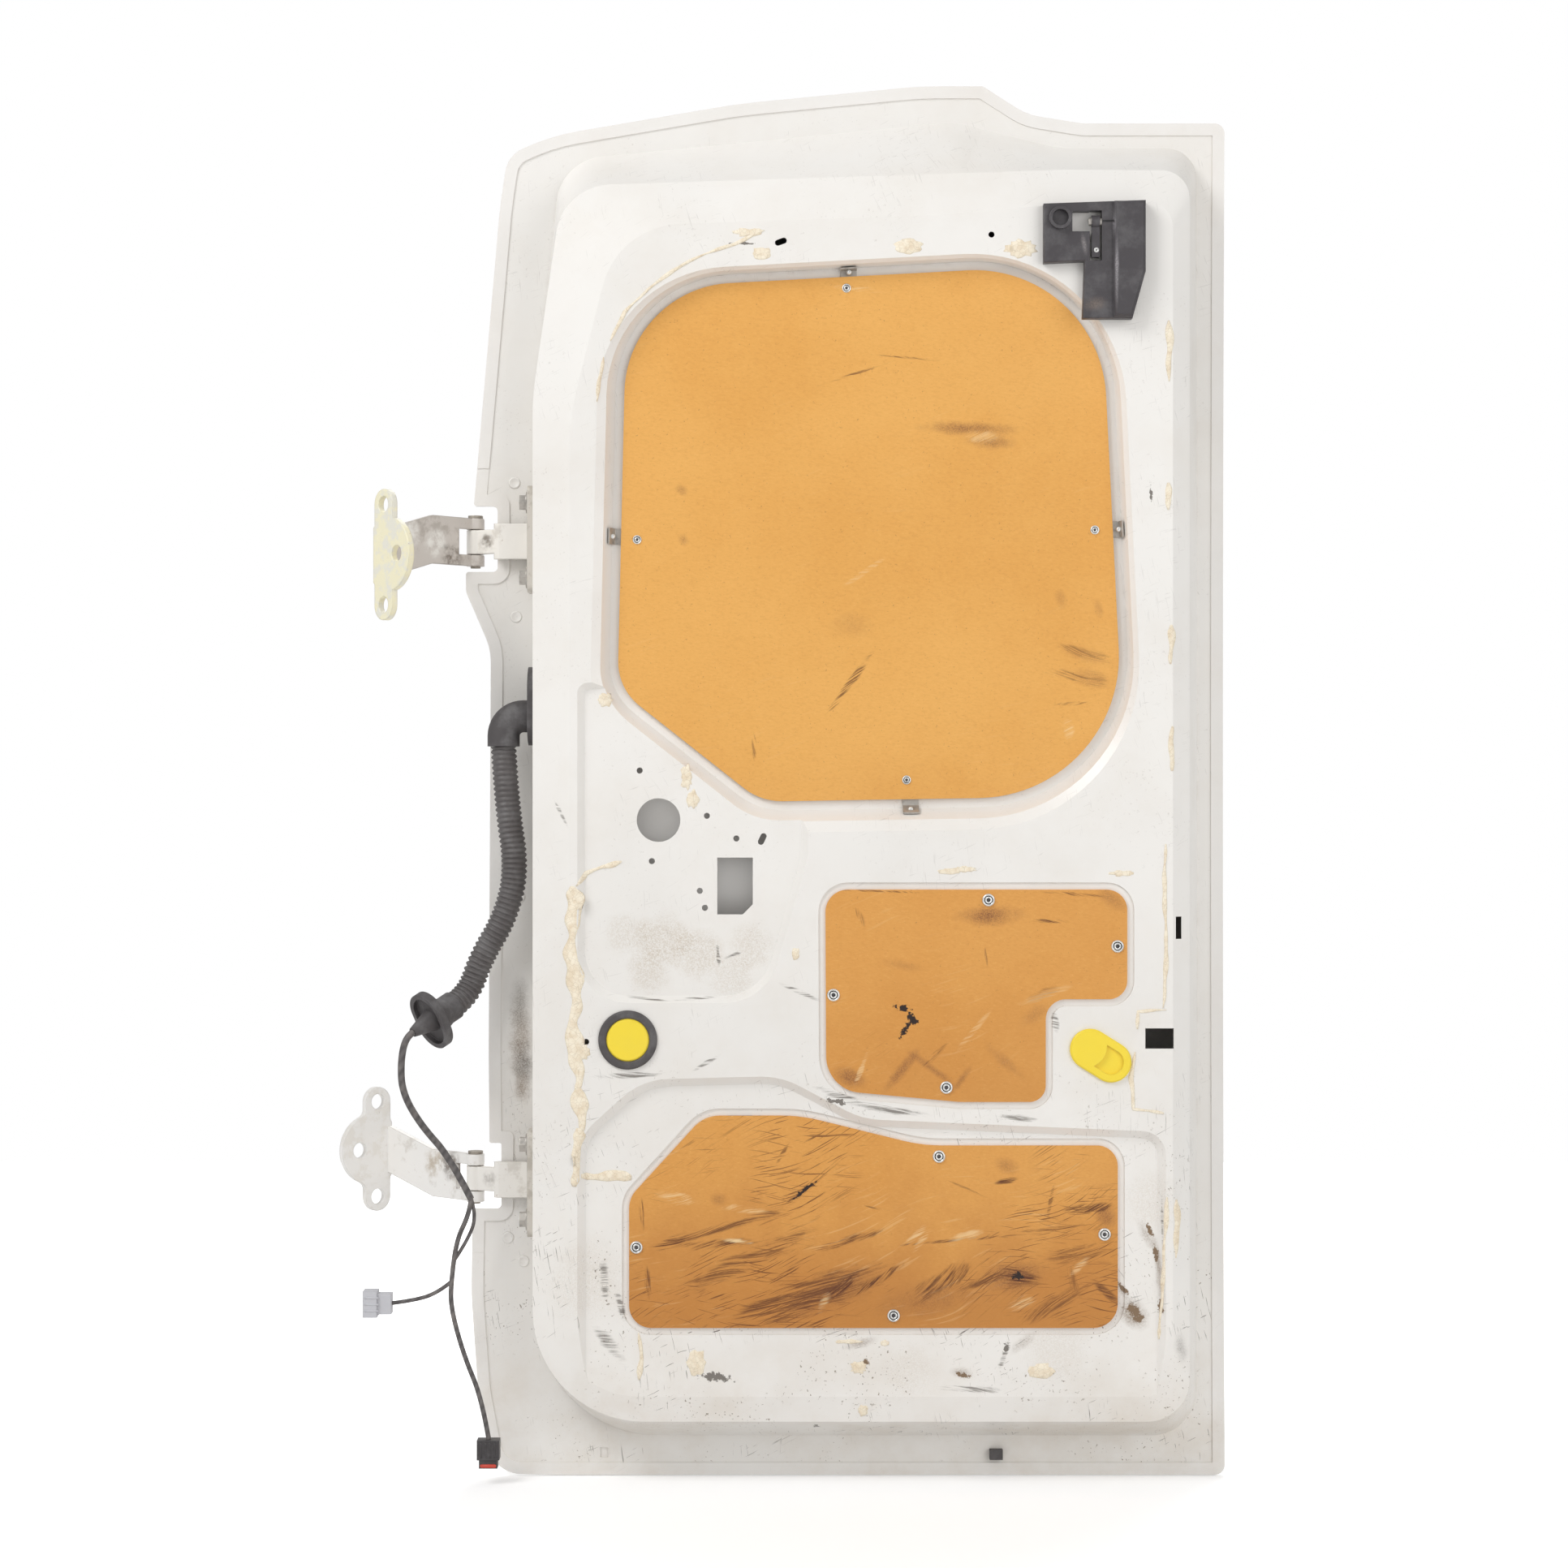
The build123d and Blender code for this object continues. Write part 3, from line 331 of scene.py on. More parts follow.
def hardboard(name, level, tone, wear, stain, cuts=(), smudges=(), blots=(), rubs=()):
    """Smooth amber hardboard: pressed fibres, a stain that grows downwards, smudges and scratches."""
    shader = Shader(name)
    fibre = shader.noise(1.0, 4.0, 0.7, shader.placed(8.0, (0.0040, 0.02, 0.0016)))
    clouds = shader.step(shader.noise(5.5, 5.0, 0.6), 0.35, 0.70)
    colour = shader.mix(clouds, tone, tuple(c * k for c, k in zip(tone, (0.94, 0.89, 0.80))))
    colour = shader.mix(shader.times(shader.step(fibre, 0.46, 0.70), 0.22), colour, (0.52, 0.22, 0.045))
    colour = shader.mix(shader.times(shader.step(fibre, 0.44, 0.26), 0.25), colour, (0.88, 0.54, 0.19))
    fleck = shader.step(shader.noise(420.0, 2.0), 0.68, 0.75)
    colour = shader.mix(shader.times(fleck, 0.4), colour, (0.30, 0.13, 0.04))
    top, bottom, strength = stain
    height = shader.maths("MULTIPLY_ADD", shader.noise(16.0, 4.0, 0.65), 0.16, shader.height)
    soaked = shader.step(height, top + 0.08, bottom + 0.08)
    colour = shader.mix(shader.times(soaked, strength), colour, (0.44, 0.165, 0.035))
    places = shader.step(shader.noise(8.0, 3.0), 0.50, 0.62)
    rubbed = shader.times(shader.streaks(-18.0, 0.050, 0.003, 0.60, 0.70), places)
    colour = shader.mix(shader.times(rubbed, 0.08 + 0.25 * wear), colour, (0.84, 0.56, 0.26))
    for (px, py), turn, reach, breadth, strength in smudges:
        smear = shader.smudge(at_pixel(px, py, level), turn, reach, breadth)
        colour = shader.mix(shader.times(smear, strength), colour, (0.22, 0.085, 0.036))
    lines = shader.most(
        shader.streaks(-28.0, 0.040, 0.0013, 0.61, 0.66), shader.streaks(4.0, 0.050, 0.0012, 0.64, 0.69)
    )
    grimy = shader.step(shader.noise(6.0, 3.0), 0.64 - 0.22 * wear, 0.74 - 0.22 * wear)
    scores = shader.times(shader.times(lines, grimy), wear)
    brushes = {turn: shader.brush(turn) for turn in (-38.0, -15.0, 15.0, 85.0)}
    for (px, py), turn, reach, breadth, strength in cuts:
        nearest = min(brushes, key=lambda way: abs(way - turn))
        mark = shader.stroke(brushes[nearest], at_pixel(px, py, level), turn, reach, breadth)
        scores = shader.most(scores, shader.times(mark, strength))
    colour = shader.mix(shader.times(scores, 0.94), colour, (0.095, 0.027, 0.012))
    for (px, py), turn, reach, breadth in blots:
        mark = shader.blot(at_pixel(px, py, level), turn, reach, breadth)
        colour = shader.mix(mark, colour, (0.028, 0.016, 0.013))
    for (px, py), turn, reach, breadth, strength in rubs:
        mark = shader.stroke(brushes[-15.0], at_pixel(px, py, level), turn, reach, breadth)
        colour = shader.mix(shader.times(mark, strength), colour, (0.88, 0.64, 0.34))
    shader.set(Base_Color=colour, Roughness=0.5, Specular_IOR_Level=0.35)
    shader.bump(shader.maths("SUBTRACT", shader.times(fibre, 0.3), scores), 0.0003, 0.4)
    return shader.material


def moulded(name, colour, roughness, dust, scuffs=()):
    """Moulded plastic or rubber with fine grain, edges painted pale as a highlight, dust in patches, and
    streaks: rubbed marks, and painted highlight where a list gives one.
    """
    shader = Shader(name)
    rolled, edge = soft_edges(shader, 0.0012)
    film = shader.times(shader.step(shader.noise(45.0, 5.0, 0.65), 0.42, 0.72), dust)
    pale = tuple(0.6 * c + 0.14 for c in colour)
    tone = shader.mix(film, colour, pale)
    # Painted highlight: sharp edges turned pale, more so on dustier plastic.
    tone = shader.mix(shader.times(edge, min(dust, 0.5)), tone, pale)
    # Streaks of their own shade: rubbed marks, and painted highlight where the list says so.
    for centre, turn, reach, breadth, strength, shade in scuffs:
        tone = shader.mix(shader.times(shader.smudge(centre, turn, reach, breadth), strength), tone, shade)
    shader.set(Base_Color=tone, Roughness=roughness)
    shader.bump(shader.noise(700.0, 3.0), 0.0002, 0.5, rolled)
    return shader.material


def cream_paste(name):
    """Old seam sealant and glue: cream, matt, cracked and dusty."""
    shader = Shader(name)
    blotch = shader.noise(110.0, 5.0, 0.65)
    colour = shader.mix(shader.step(blotch, 0.35, 0.70), (0.90, 0.82, 0.67), (0.78, 0.66, 0.49))
    crack = shader.node(
        "ShaderNodeTexVoronoi", {"Vector": shader.coords, "Scale": 210.0}, feature="DISTANCE_TO_EDGE"
    )
    lines = shader.step(crack, 0.05, 0.01)
    colour = shader.mix(shader.times(lines, 0.3), colour, (0.40, 0.31, 0.19))
    shader.set(Base_Color=colour, Roughness=0.85)
    shader.bump(shader.maths("SUBTRACT", blotch, shader.times(lines, 0.3)), 0.0006, 0.35)
    return shader.material


def wound_tape(name):
    """Cloth tape wound round the wires, with dusty overlaps."""
    shader = Shader(name)
    inputs = {"Vector": shader.placed(38.0, (1.0, 1.0, 1.0)), "Scale": 46.0, "Distortion": 1.6, "Detail": 2.0}
    wrap = shader.node("ShaderNodeTexWave", inputs, 1)
    colour = shader.mix(shader.times(wrap, 0.5), (0.085, 0.078, 0.078), (0.20, 0.185, 0.18))
    dusty = shader.step(shader.noise(60.0, 4.0), 0.5, 0.7)
    colour = shader.mix(shader.times(dusty, 0.4), colour, (0.28, 0.25, 0.23))
    shader.set(Base_Color=colour, Roughness=0.8)
    shader.bump(shader.maths("MULTIPLY_ADD", shader.noise(900.0, 2.0), 0.4, wrap), 0.0005, 0.7)
    return shader.material


# Finishes. Marks stand at pixels of the photograph, with lengths in metres and turns in degrees.
# Dust and marks on hinges have a radius, other marks a turn, half length and half width.
# A strength and a colour follow where they vary.

soot = (0.20, 0.18, 0.16)
mud = (0.22, 0.145, 0.085)
paint = white_paint(
    "panel_paint",
    (0.85, 0.828, 0.792),
    1.0,
    dust=on_node(
        [
            ((770, 1150), 0.026, 0.30),
            ((815, 1160), 0.036, 0.45),
            ((860, 1175), 0.032, 0.40),
            ((925, 1165), 0.028, 0.32),
            ((900, 1205), 0.028, 0.30),
            ((800, 1195), 0.028, 0.35),
            ((720, 1580), 0.050, 0.22),
            ((1420, 1480), 0.035, 0.22),
            ((1300, 1665), 0.040, 0.20),
            ((1120, 1690), 0.035, 0.20),
        ]
    ),
    smears=on_node(
        [
            ((642, 1285), 90.0, 0.058, 0.014, 0.80, mud),
            ((646, 1312), 90.0, 0.028, 0.013, 0.95, soot),
            ((641, 1235), 90.0, 0.030, 0.011, 0.60, soot),
            ((644, 1340), 90.0, 0.016, 0.010, 0.80, mud),
            ((1397, 1618), 40.0, 0.018, 0.013, 1.00, mud),
            ((1412, 1520), 60.0, 0.018, 0.006, 0.60, mud),
            ((1425, 1545), 80.0, 0.022, 0.004, 0.70, mud),
            ((1383, 1590), 55.0, 0.014, 0.005, 0.70, mud),
            ((1430, 1580), 85.0, 0.030, 0.004, 0.60, mud),
            ((1185, 1692), 10.0, 0.012, 0.006, 0.60, mud),
            ((1060, 1655), -15.0, 0.018, 0.005, 0.60, mud),
            ((1260, 1655), -40.0, 0.018, 0.006, 0.45, mud),
            ((1455, 1660), 80.0, 0.016, 0.007, 0.60, soot),
        ]
    ),
    scuffs=on_node(
        [
            ((1040, 1352), 18.0, 0.030, 0.0040),
            ((1085, 1364), 10.0, 0.045, 0.0050),
            ((1250, 1378), 2.0, 0.025, 0.0040),
            ((775, 1325), -3.0, 0.034, 0.0030),
            ((870, 1310), -30.0, 0.014, 0.0025),
            ((985, 1222), 24.0, 0.026, 0.0025),
            ((1300, 1258), 80.0, 0.010, 0.0040),
            ((800, 1231), 6.0, 0.024, 0.0015),
            ((860, 1230), -4.0, 0.024, 0.0015),
            ((690, 1000), 62.0, 0.016, 0.0020),
            ((885, 1178), 85.0, 0.012, 0.0022),
            ((905, 1176), -20.0, 0.010, 0.0018),
            ((1432, 1505), 89.0, 0.024, 0.0016),
            ((1195, 1712), 3.0, 0.030, 0.0035),
            ((745, 1580), 86.0, 0.020, 0.0050),
            ((750, 1655), 50.0, 0.024, 0.0070),
            ((765, 1610), 75.0, 0.018, 0.0040),
            ((1238, 1668), -70.0, 0.016, 0.0030),
        ]
    ),
    blots=on_node(
        [
            ((882, 1697), 5.0, 0.019, 0.0050, soot),
            ((1006, 1757), 20.0, 0.004, 0.0030, soot),
            ((915, 300), 2.0, 0.014, 0.0016, soot),
            ((1418, 607), 85.0, 0.009, 0.0018, soot),
            ((1030, 1357), 14.0, 0.014, 0.0030, soot),
            ((1240, 1660), -75.0, 0.008, 0.0030, soot),
            ((1397, 1615), 45.0, 0.011, 0.0065, mud),
            ((1403, 1625), 10.0, 0.008, 0.0050, mud),
            ((1384, 1588), 50.0, 0.009, 0.0030, mud),
            ((1416, 1515), 65.0, 0.010, 0.0030, mud),
            ((1424, 1545), 85.0, 0.009, 0.0035, mud),
            ((1430, 1612), 85.0, 0.007, 0.0030, mud),
            ((1186, 1694), 5.0, 0.008, 0.0035, mud),
            ((1062, 1682), -40.0, 0.012, 0.0040, mud),
        ]
    ),
)
skin_paint = white_paint("skin_paint", (0.85, 0.828, 0.796), 0.08)
grease = (0.13, 0.095, 0.070)
old_paint = (0.86, 0.84, 0.80)
worn_metal = (0.50, 0.45, 0.38)

# Pillar faces: outward direction of each, and where its flange starts along that direction
lower_outward = (-0.6428, 0.7660, 0.0)
lower_flange_start = -0.0062
upper_outward = (-0.7431, -0.6691, 0.0)
upper_flange_start = 0.1016

# Depth of the door plates that has their own tone
plate_tone_depth = 0.0065

lower_leaf_marks = [
    ((535, 1432), 0.020, 0.7, (0.42, 0.33, 0.22)),
    ((556, 1436), 0.020, 0.9, grease),
]
white_leaf = hinge_finish(
    "white_leaf",
    (0.87, 0.85, 0.82),
    0.40,
    worn_metal,
    on_node(lower_leaf_marks, "lower_hinge_body_leaf"),
    (lower_outward, lower_flange_start, (0.88, 0.86, 0.83), (0.82, 0.79, 0.74)),
)
upper_leaf_marks = [
    ((506, 655), 0.016, 0.9, old_paint),
    ((537, 668), 0.020, 1.0, old_paint),
    ((556, 689), 0.020, 0.9, grease),
]
grey_leaf = hinge_finish(
    "grey_leaf",
    (0.62, 0.575, 0.535),
    0.7,
    (0.42, 0.375, 0.335),
    on_node(upper_leaf_marks, "upper_hinge_body_leaf"),
    (upper_outward, upper_flange_start, (0.90, 0.85, 0.62), (0.82, 0.80, 0.70)),
)
door_leaves = {}
for level, pixel, strength in [("lower", (603, 1452), 0.5), ("upper", (600, 667), 0.8)]:
    node = f"{level}_hinge_door_leaf"
    plate_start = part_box(node)[1].x - plate_tone_depth
    door_leaves[level] = hinge_finish(
        f"{level}_arm",
        (0.87, 0.84, 0.79),
        0.4,
        worn_metal,
        on_node([(pixel, 0.010, strength, grease)], node),
        ((1.0, 0.0, 0.0), plate_start, (0.66, 0.62, 0.56), (0.52, 0.48, 0.42)),
    )
bolt_steel = bare_steel("bolt_steel", (0.52, 0.49, 0.45), 0.30)
pin_steel = bare_steel("pin_steel", (0.40, 0.36, 0.31), 0.5)
clip_steel = bare_steel("clip_steel", (0.50, 0.47, 0.43), 0.42)
rivet_steel = bare_steel("rivet_steel", (0.82, 0.82, 0.80), 0.34)
rubber = moulded("black_rubber", (0.072, 0.065, 0.066), 0.6, 0.5)
cover_plastic = moulded(
    "cover_plastic",
    (0.056, 0.050, 0.055),
    0.44,
    0.35,
    on_node(
        [
            # The first two pale streaks run down the cover's step: painted highlight where the step faces the
            # light. The other two are a rubbed scuff and brown dirt.
            ((1376, 330), 90.0, 0.036, 0.0022, 0.75, (0.42, 0.40, 0.42)),
            ((1373, 275), 90.0, 0.014, 0.0020, 0.60, (0.38, 0.36, 0.38)),
            ((1336, 301), 80.0, 0.011, 0.0030, 0.60, (0.36, 0.33, 0.33)),
            ((1350, 375), 0.0, 0.013, 0.0080, 0.55, (0.26, 0.20, 0.16)),
        ],
        "latch_cover",
    ),
)
yellow = moulded("yellow_plastic", (0.90, 0.69, 0.045), 0.38, 0.05)
grey_plastic = moulded("grey_plastic", (0.54, 0.54, 0.57), 0.5, 0.2)
black_plastic = moulded("black_plastic", (0.050, 0.045, 0.047), 0.45, 0.3)
red_plastic = moulded("red_plastic", (0.62, 0.06, 0.035), 0.42, 0.1)
hose = moulded("hose_plastic", (0.100, 0.090, 0.088), 0.5, 0.55)
tape = wound_tape("wound_tape")
paste = cream_paste("cream_paste")
upper_hardboard = hardboard(
    "upper_hardboard",
    window_y,
    (0.79, 0.412, 0.106),
    0.05,
    (0.45, 0.30, 0.12),
    cuts=[
        ((1050, 838), -54.0, 0.032, 0.0040, 0.85),
        ((1030, 866), -48.0, 0.014, 0.0030, 0.7),
        ((1055, 460), -18.0, 0.034, 0.0016, 0.8),
        ((1110, 440), 5.0, 0.036, 0.0014, 0.7),
        ((1335, 805), 17.0, 0.030, 0.0050, 0.55),
        ((1352, 809), 17.0, 0.014, 0.0060, 0.5),
        ((1326, 834), 9.0, 0.032, 0.0060, 0.55),
        ((1348, 838), 12.0, 0.014, 0.0080, 0.5),
        ((1322, 867), -3.0, 0.020, 0.0020, 0.5),
        ((929, 920), 88.0, 0.014, 0.0025, 0.6),
    ],
    smudges=[
        ((1195, 528), 2.0, 0.050, 0.0075, 0.85),
        ((1222, 545), 5.0, 0.028, 0.0080, 0.7),
        ((1345, 837), 12.0, 0.024, 0.010, 0.35),
        ((1338, 807), 17.0, 0.028, 0.009, 0.30),
        ((1307, 737), 80.0, 0.010, 0.006, 0.30),
        ((1354, 750), 80.0, 0.010, 0.005, 0.30),
        ((1050, 770), 10.0, 0.024, 0.014, 0.25),
        ((840, 604), 40.0, 0.007, 0.006, 0.45),
        ((842, 665), 40.0, 0.007, 0.006, 0.45),
    ],
    rubs=[
        ((1210, 538), 4.0, 0.018, 0.008, 0.45),
        ((1065, 705), -35.0, 0.030, 0.003, 0.3),
        ((1317, 900), 85.0, 0.012, 0.006, 0.5),
        ((1060, 356), 6.0, 0.030, 0.003, 0.4),
    ],
)
middle_hardboard = hardboard(
    "middle_hardboard",
    middle_y,
    (0.71, 0.340, 0.084),
    0.28,
    (0.22, 0.02, 0.30),
    cuts=[
        ((1292, 1135), 2.0, 0.022, 0.0022, 1.0),
        ((1150, 1302), -42.0, 0.020, 0.0030, 0.7),
        ((1285, 1225), -20.0, 0.018, 0.0050, 0.5),
        ((1060, 1130), 60.0, 0.012, 0.0040, 0.5),
        ((1215, 1180), 82.0, 0.012, 0.0015, 0.6),
        ((1330, 1102), 4.0, 0.030, 0.0020, 0.7),
        ((1080, 1098), 2.0, 0.050, 0.0012, 0.7),
    ],
    smudges=[
        ((1219, 1128), 0.0, 0.034, 0.0110, 0.95),
        ((1112, 1317), -50.0, 0.030, 0.0060, 0.75),
        ((1150, 1318), 36.0, 0.030, 0.0050, 0.7),
        ((1185, 1330), -55.0, 0.018, 0.0040, 0.6),
        ((1047, 1328), 20.0, 0.018, 0.0100, 0.85),
        ((1370, 1108), 40.0, 0.020, 0.0100, 0.5),
        ((1240, 1310), 42.0, 0.026, 0.0060, 0.4),
        ((1275, 1250), -35.0, 0.020, 0.0090, 0.35),
        ((1115, 1190), 10.0, 0.022, 0.0060, 0.3),
    ],
    blots=[
        ((1113, 1242), 15.0, 0.0090, 0.0050),
        ((1123, 1254), 62.0, 0.0100, 0.0045),
        ((1114, 1271), -55.0, 0.0130, 0.0035),
    ],
    rubs=[
        ((1290, 1225), -18.0, 0.030, 0.004, 0.4),
        ((1200, 1270), -50.0, 0.030, 0.003, 0.35),
        ((1060, 1320), -70.0, 0.020, 0.003, 0.5),
    ],
)
lower_hardboard = hardboard(
    "lower_hardboard",
    lower_y,
    (0.72, 0.350, 0.088),
    0.75,
    (0.01, -0.15, 0.62),
    cuts=[
        ((997, 1461), -40.0, 0.046, 0.0026, 1.0),
        ((990, 1468), -39.0, 0.026, 0.0040, 1.0),
        ((885, 1514), -16.0, 0.072, 0.0050, 0.8),
        ((893, 1532), -4.0, 0.044, 0.0055, 1.0),
        ((830, 1530), -22.0, 0.026, 0.0060, 0.9),
        ((920, 1554), -24.0, 0.074, 0.0110, 0.75),
        ((1000, 1597), -20.0, 0.080, 0.0200, 0.85),
        ((940, 1612), -24.0, 0.040, 0.0110, 0.85),
        ((1076, 1581), -32.0, 0.034, 0.0045, 1.0),
        ((1033, 1588), -28.0, 0.024, 0.0080, 1.0),
        ((1048, 1528), -16.0, 0.042, 0.0050, 0.9),
        ((1080, 1489), 12.0, 0.018, 0.0016, 0.8),
        ((1160, 1580), -30.0, 0.036, 0.0120, 0.9),
        ((1240, 1455), -8.0, 0.012, 0.0028, 1.0),
        ((1190, 1464), 24.0, 0.030, 0.0014, 0.7),
        ((1294, 1483), -80.0, 0.017, 0.0022, 0.8),
        ((1346, 1488), -4.0, 0.028, 0.0055, 1.0),
        ((1296, 1514), -6.0, 0.036, 0.0022, 0.9),
        ((1180, 1528), -5.0, 0.070, 0.0018, 0.8),
        ((1254, 1572), 10.0, 0.024, 0.0120, 1.0),
        ((1215, 1577), -20.0, 0.030, 0.0050, 0.8),
        ((1363, 1592), 42.0, 0.022, 0.0050, 0.9),
        ((1322, 1580), 70.0, 0.018, 0.0050, 0.6),
        ((1300, 1606), -30.0, 0.040, 0.0080, 0.7),
        ((798, 1578), 86.0, 0.016, 0.0035, 0.9),
        ((791, 1494), 87.0, 0.016, 0.0030, 0.9),
        ((965, 1420), -60.0, 0.014, 0.0025, 0.7),
        ((1330, 1545), -12.0, 0.030, 0.0080, 0.7),
    ],
    smudges=[
        ((885, 1477), 5.0, 0.010, 0.0070, 0.5),
        ((1252, 1572), 0.0, 0.030, 0.0180, 0.8),
        ((1362, 1498), 60.0, 0.014, 0.0090, 0.7),
        ((1030, 1590), -25.0, 0.060, 0.0200, 0.5),
        ((1150, 1600), -10.0, 0.060, 0.0200, 0.45),
        ((1240, 1436), 20.0, 0.014, 0.0080, 0.5),
    ],
    blots=[((1254, 1573), 20.0, 0.0070, 0.0050), ((992, 1466), -38.0, 0.0200, 0.0022)],
    rubs=[
        ((834, 1477), 8.0, 0.022, 0.007, 0.7),
        ((915, 1490), 4.0, 0.022, 0.004, 0.6),
        ((908, 1529), 6.0, 0.018, 0.003, 0.9),
        ((1130, 1520), -40.0, 0.014, 0.004, 0.6),
        ((1135, 1530), -50.0, 0.012, 0.004, 0.7),
        ((1015, 1605), -60.0, 0.012, 0.005, 0.6),
        ((1190, 1525), -20.0, 0.020, 0.006, 0.6),
        ((1330, 1560), -45.0, 0.014, 0.004, 0.5),
        ((1260, 1605), -20.0, 0.016, 0.006, 0.5),
    ],
)

finishes = {
    "outer_skin": skin_paint,
    "inner_panel": paint,
    "lower_hinge_body_leaf": white_leaf,
    "upper_hinge_body_leaf": grey_leaf,
    "window_board": upper_hardboard,
    "middle_board": middle_hardboard,
    "lower_board": lower_hardboard,
    "round_plug_ring": rubber,
    "round_plug_cap": yellow,
    "oval_plug": yellow,
    "latch_cover": cover_plastic,
    "latch_bush": cover_plastic,
    "latch_lever": cover_plastic,
    "latch_axle": clip_steel,
    "drain_block": rubber,
    "door_grommet": rubber,
    "far_grommet": rubber,
    "grey_connector": grey_plastic,
    "black_connector": black_plastic,
}
for level in ("lower", "upper"):
    finishes[f"{level}_hinge_door_leaf"] = door_leaves[level]
    finishes[f"{level}_hinge_bolts"] = bolt_steel
    finishes[f"{level}_hinge_pin"] = pin_steel
for side in ("top", "left", "right", "bottom"):
    finishes[f"window_clip_{side}"] = clip_steel
for name, finish in finishes.items():
    materials = cad_nodes[name].data.materials
    materials.clear()
    materials.append(finish)


# Camera at the photograph's place

lens_data = bpy.data.cameras.new("photo_camera")
lens_data.lens = lens
lens_data.sensor_width = sensor
camera = bpy.data.objects.new("photo_camera", lens_data)
bpy.context.scene.collection.objects.link(camera)
camera.location = eye
camera.rotation_euler = (math.pi / 2, 0, 0)
bpy.context.scene.camera = camera
bpy.context.scene.view_settings.view_transform = "Standard"


# Mesh building blocks


def finished(name, made, material, body="door"):
    """Smooth object from a bmesh, with its material and body."""
    bmesh.ops.recalc_face_normals(made, faces=made.faces)
    mesh = bpy.data.meshes.new(name)
    made.to_mesh(mesh)
    made.free()
    for polygon in mesh.polygons:
        polygon.use_smooth = True
    mesh.materials.append(material)
    built = bpy.data.objects.new(name, mesh)
    bpy.context.scene.collection.objects.link(built)
    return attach(built, body)


def joined(made, rings, capped=True):
    """Skin of quads over closed rings of corners, with flat ends where capped."""
    count = len(rings[0])
    for ring, following in zip(rings, rings[1:]):
        for step in range(count):
            ahead = (step + 1) % count
            made.faces.new((ring[step], ring[ahead], following[ahead], following[step]))
    if capped:
        made.faces.new(rings[0])
        made.faces.new(rings[-1])


def route_spline(name, route):
    """Curve object with the route's points as control points of one smooth spline."""
    curve = bpy.data.curves.new(name, "CURVE")
    curve.dimensions = "3D"
    curve.resolution_u = 24
    spline = curve.splines.new("NURBS")
    spline.points.add(len(route) - 1)
    for point, place in zip(spline.points, route):
        point.co = (*place, 1.0)
    spline.order_u = 3
    spline.use_endpoint_u = True
    made = bpy.data.objects.new(name, curve)
    bpy.context.scene.collection.objects.link(made)
    return made


def spline_points(route):
    """Points along the route's smooth spline."""
    guide = route_spline("guide", route)
    guide.data.resolution_u = 72
    mesh = bpy.data.meshes.new_from_object(guide)
    points = [vertex.co.copy() for vertex in mesh.vertices]
    bpy.data.objects.remove(guide)
    bpy.data.meshes.remove(mesh)
    return points


def run_length(points):
    return sum((b - a).length for a, b in zip(points, points[1:]))


def tube(made, points, radius_at, around):
    """Closed tube along points, with a radius given by the length run so far."""
    side = Vector((0, 1, 0))
    run = 0.0
    rings = []
    for index, point in enumerate(points):
        before = points[max(index - 1, 0)]
        after = points[min(index + 1, len(points) - 1)]
        run += (point - before).length
        along = (after - before).normalized()
        side = (side - along * side.dot(along)).normalized()
        up = along.cross(side)
        turns = [2 * math.pi * step / around for step in range(around)]
        radius = radius_at(run)
        offsets = [radius * (math.cos(turn) * side + math.sin(turn) * up) for turn in turns]
        rings.append([made.verts.new(point + offset) for offset in offsets])
    joined(made, rings)


# Connector trim: ribs along the grey one, ribs and a red lock round the black one

rib_inset = 0.002
rib_sink = 0.0004
grey_rib_radius = 0.0011
black_rib_radius = 0.0010

ribs = bmesh.new()
low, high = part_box("grey_connector")
for share in (0.25, 0.5, 0.75):
    start = Vector((low.x + rib_inset, low.y + rib_sink, low.z + share * (high.z - low.z)))
    end = start + Vector((0.5 * (high.x - low.x), 0, 0))
    tube(ribs, [start.lerp(end, step / 4) for step in range(5)], lambda run: grey_rib_radius, 8)
grey_ribs = finished("grey_connector_ribs", ribs, grey_plastic)

ribs = bmesh.new()
low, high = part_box("black_connector")
for share in (0.2, 0.4, 0.6, 0.8):
    start = Vector((low.x + share * (high.x - low.x), low.y + rib_sink, high.z - rib_inset))
    end = start - Vector((0, 0, 0.55 * (high.z - low.z)))
    tube(ribs, [start.lerp(end, step / 4) for step in range(5)], lambda run: black_rib_radius, 8)
black_ribs = finished("black_connector_ribs", ribs, black_plastic)

# Lock: corners of its outline, and growth and height of each ring of its section
lock_corners = [(-1, -0.7), (-0.8, -1), (0.8, -1), (1, -0.7), (1, 0.7), (0.8, 1), (-0.8, 1), (-1, 0.7)]
lock_section = [(-0.0010, 0.0004), (0.0006, 0.0010), (0.0008, 0.0036), (-0.0010, 0.0046)]
lock_side_inset = 0.0030
lock_front_inset = 0.0010
lock = bmesh.new()
rings = []
middle = (low + high) / 2
for grow, height in lock_section:
    wide = (high.x - low.x) / 2 - lock_side_inset + grow
    deep = (high.y - low.y) / 2 - lock_front_inset + grow
    places = [(middle.x + a * wide, middle.y + b * deep, low.z + height) for a, b in lock_corners]
    rings.append([lock.verts.new(place) for place in places])
joined(lock, rings + rings[:1], capped=False)
red_lock = finished("black_connector_lock", lock, red_plastic)


# Wiring: routes repeat the points of the part's cords; the strand's are moved to lie on loom and tail

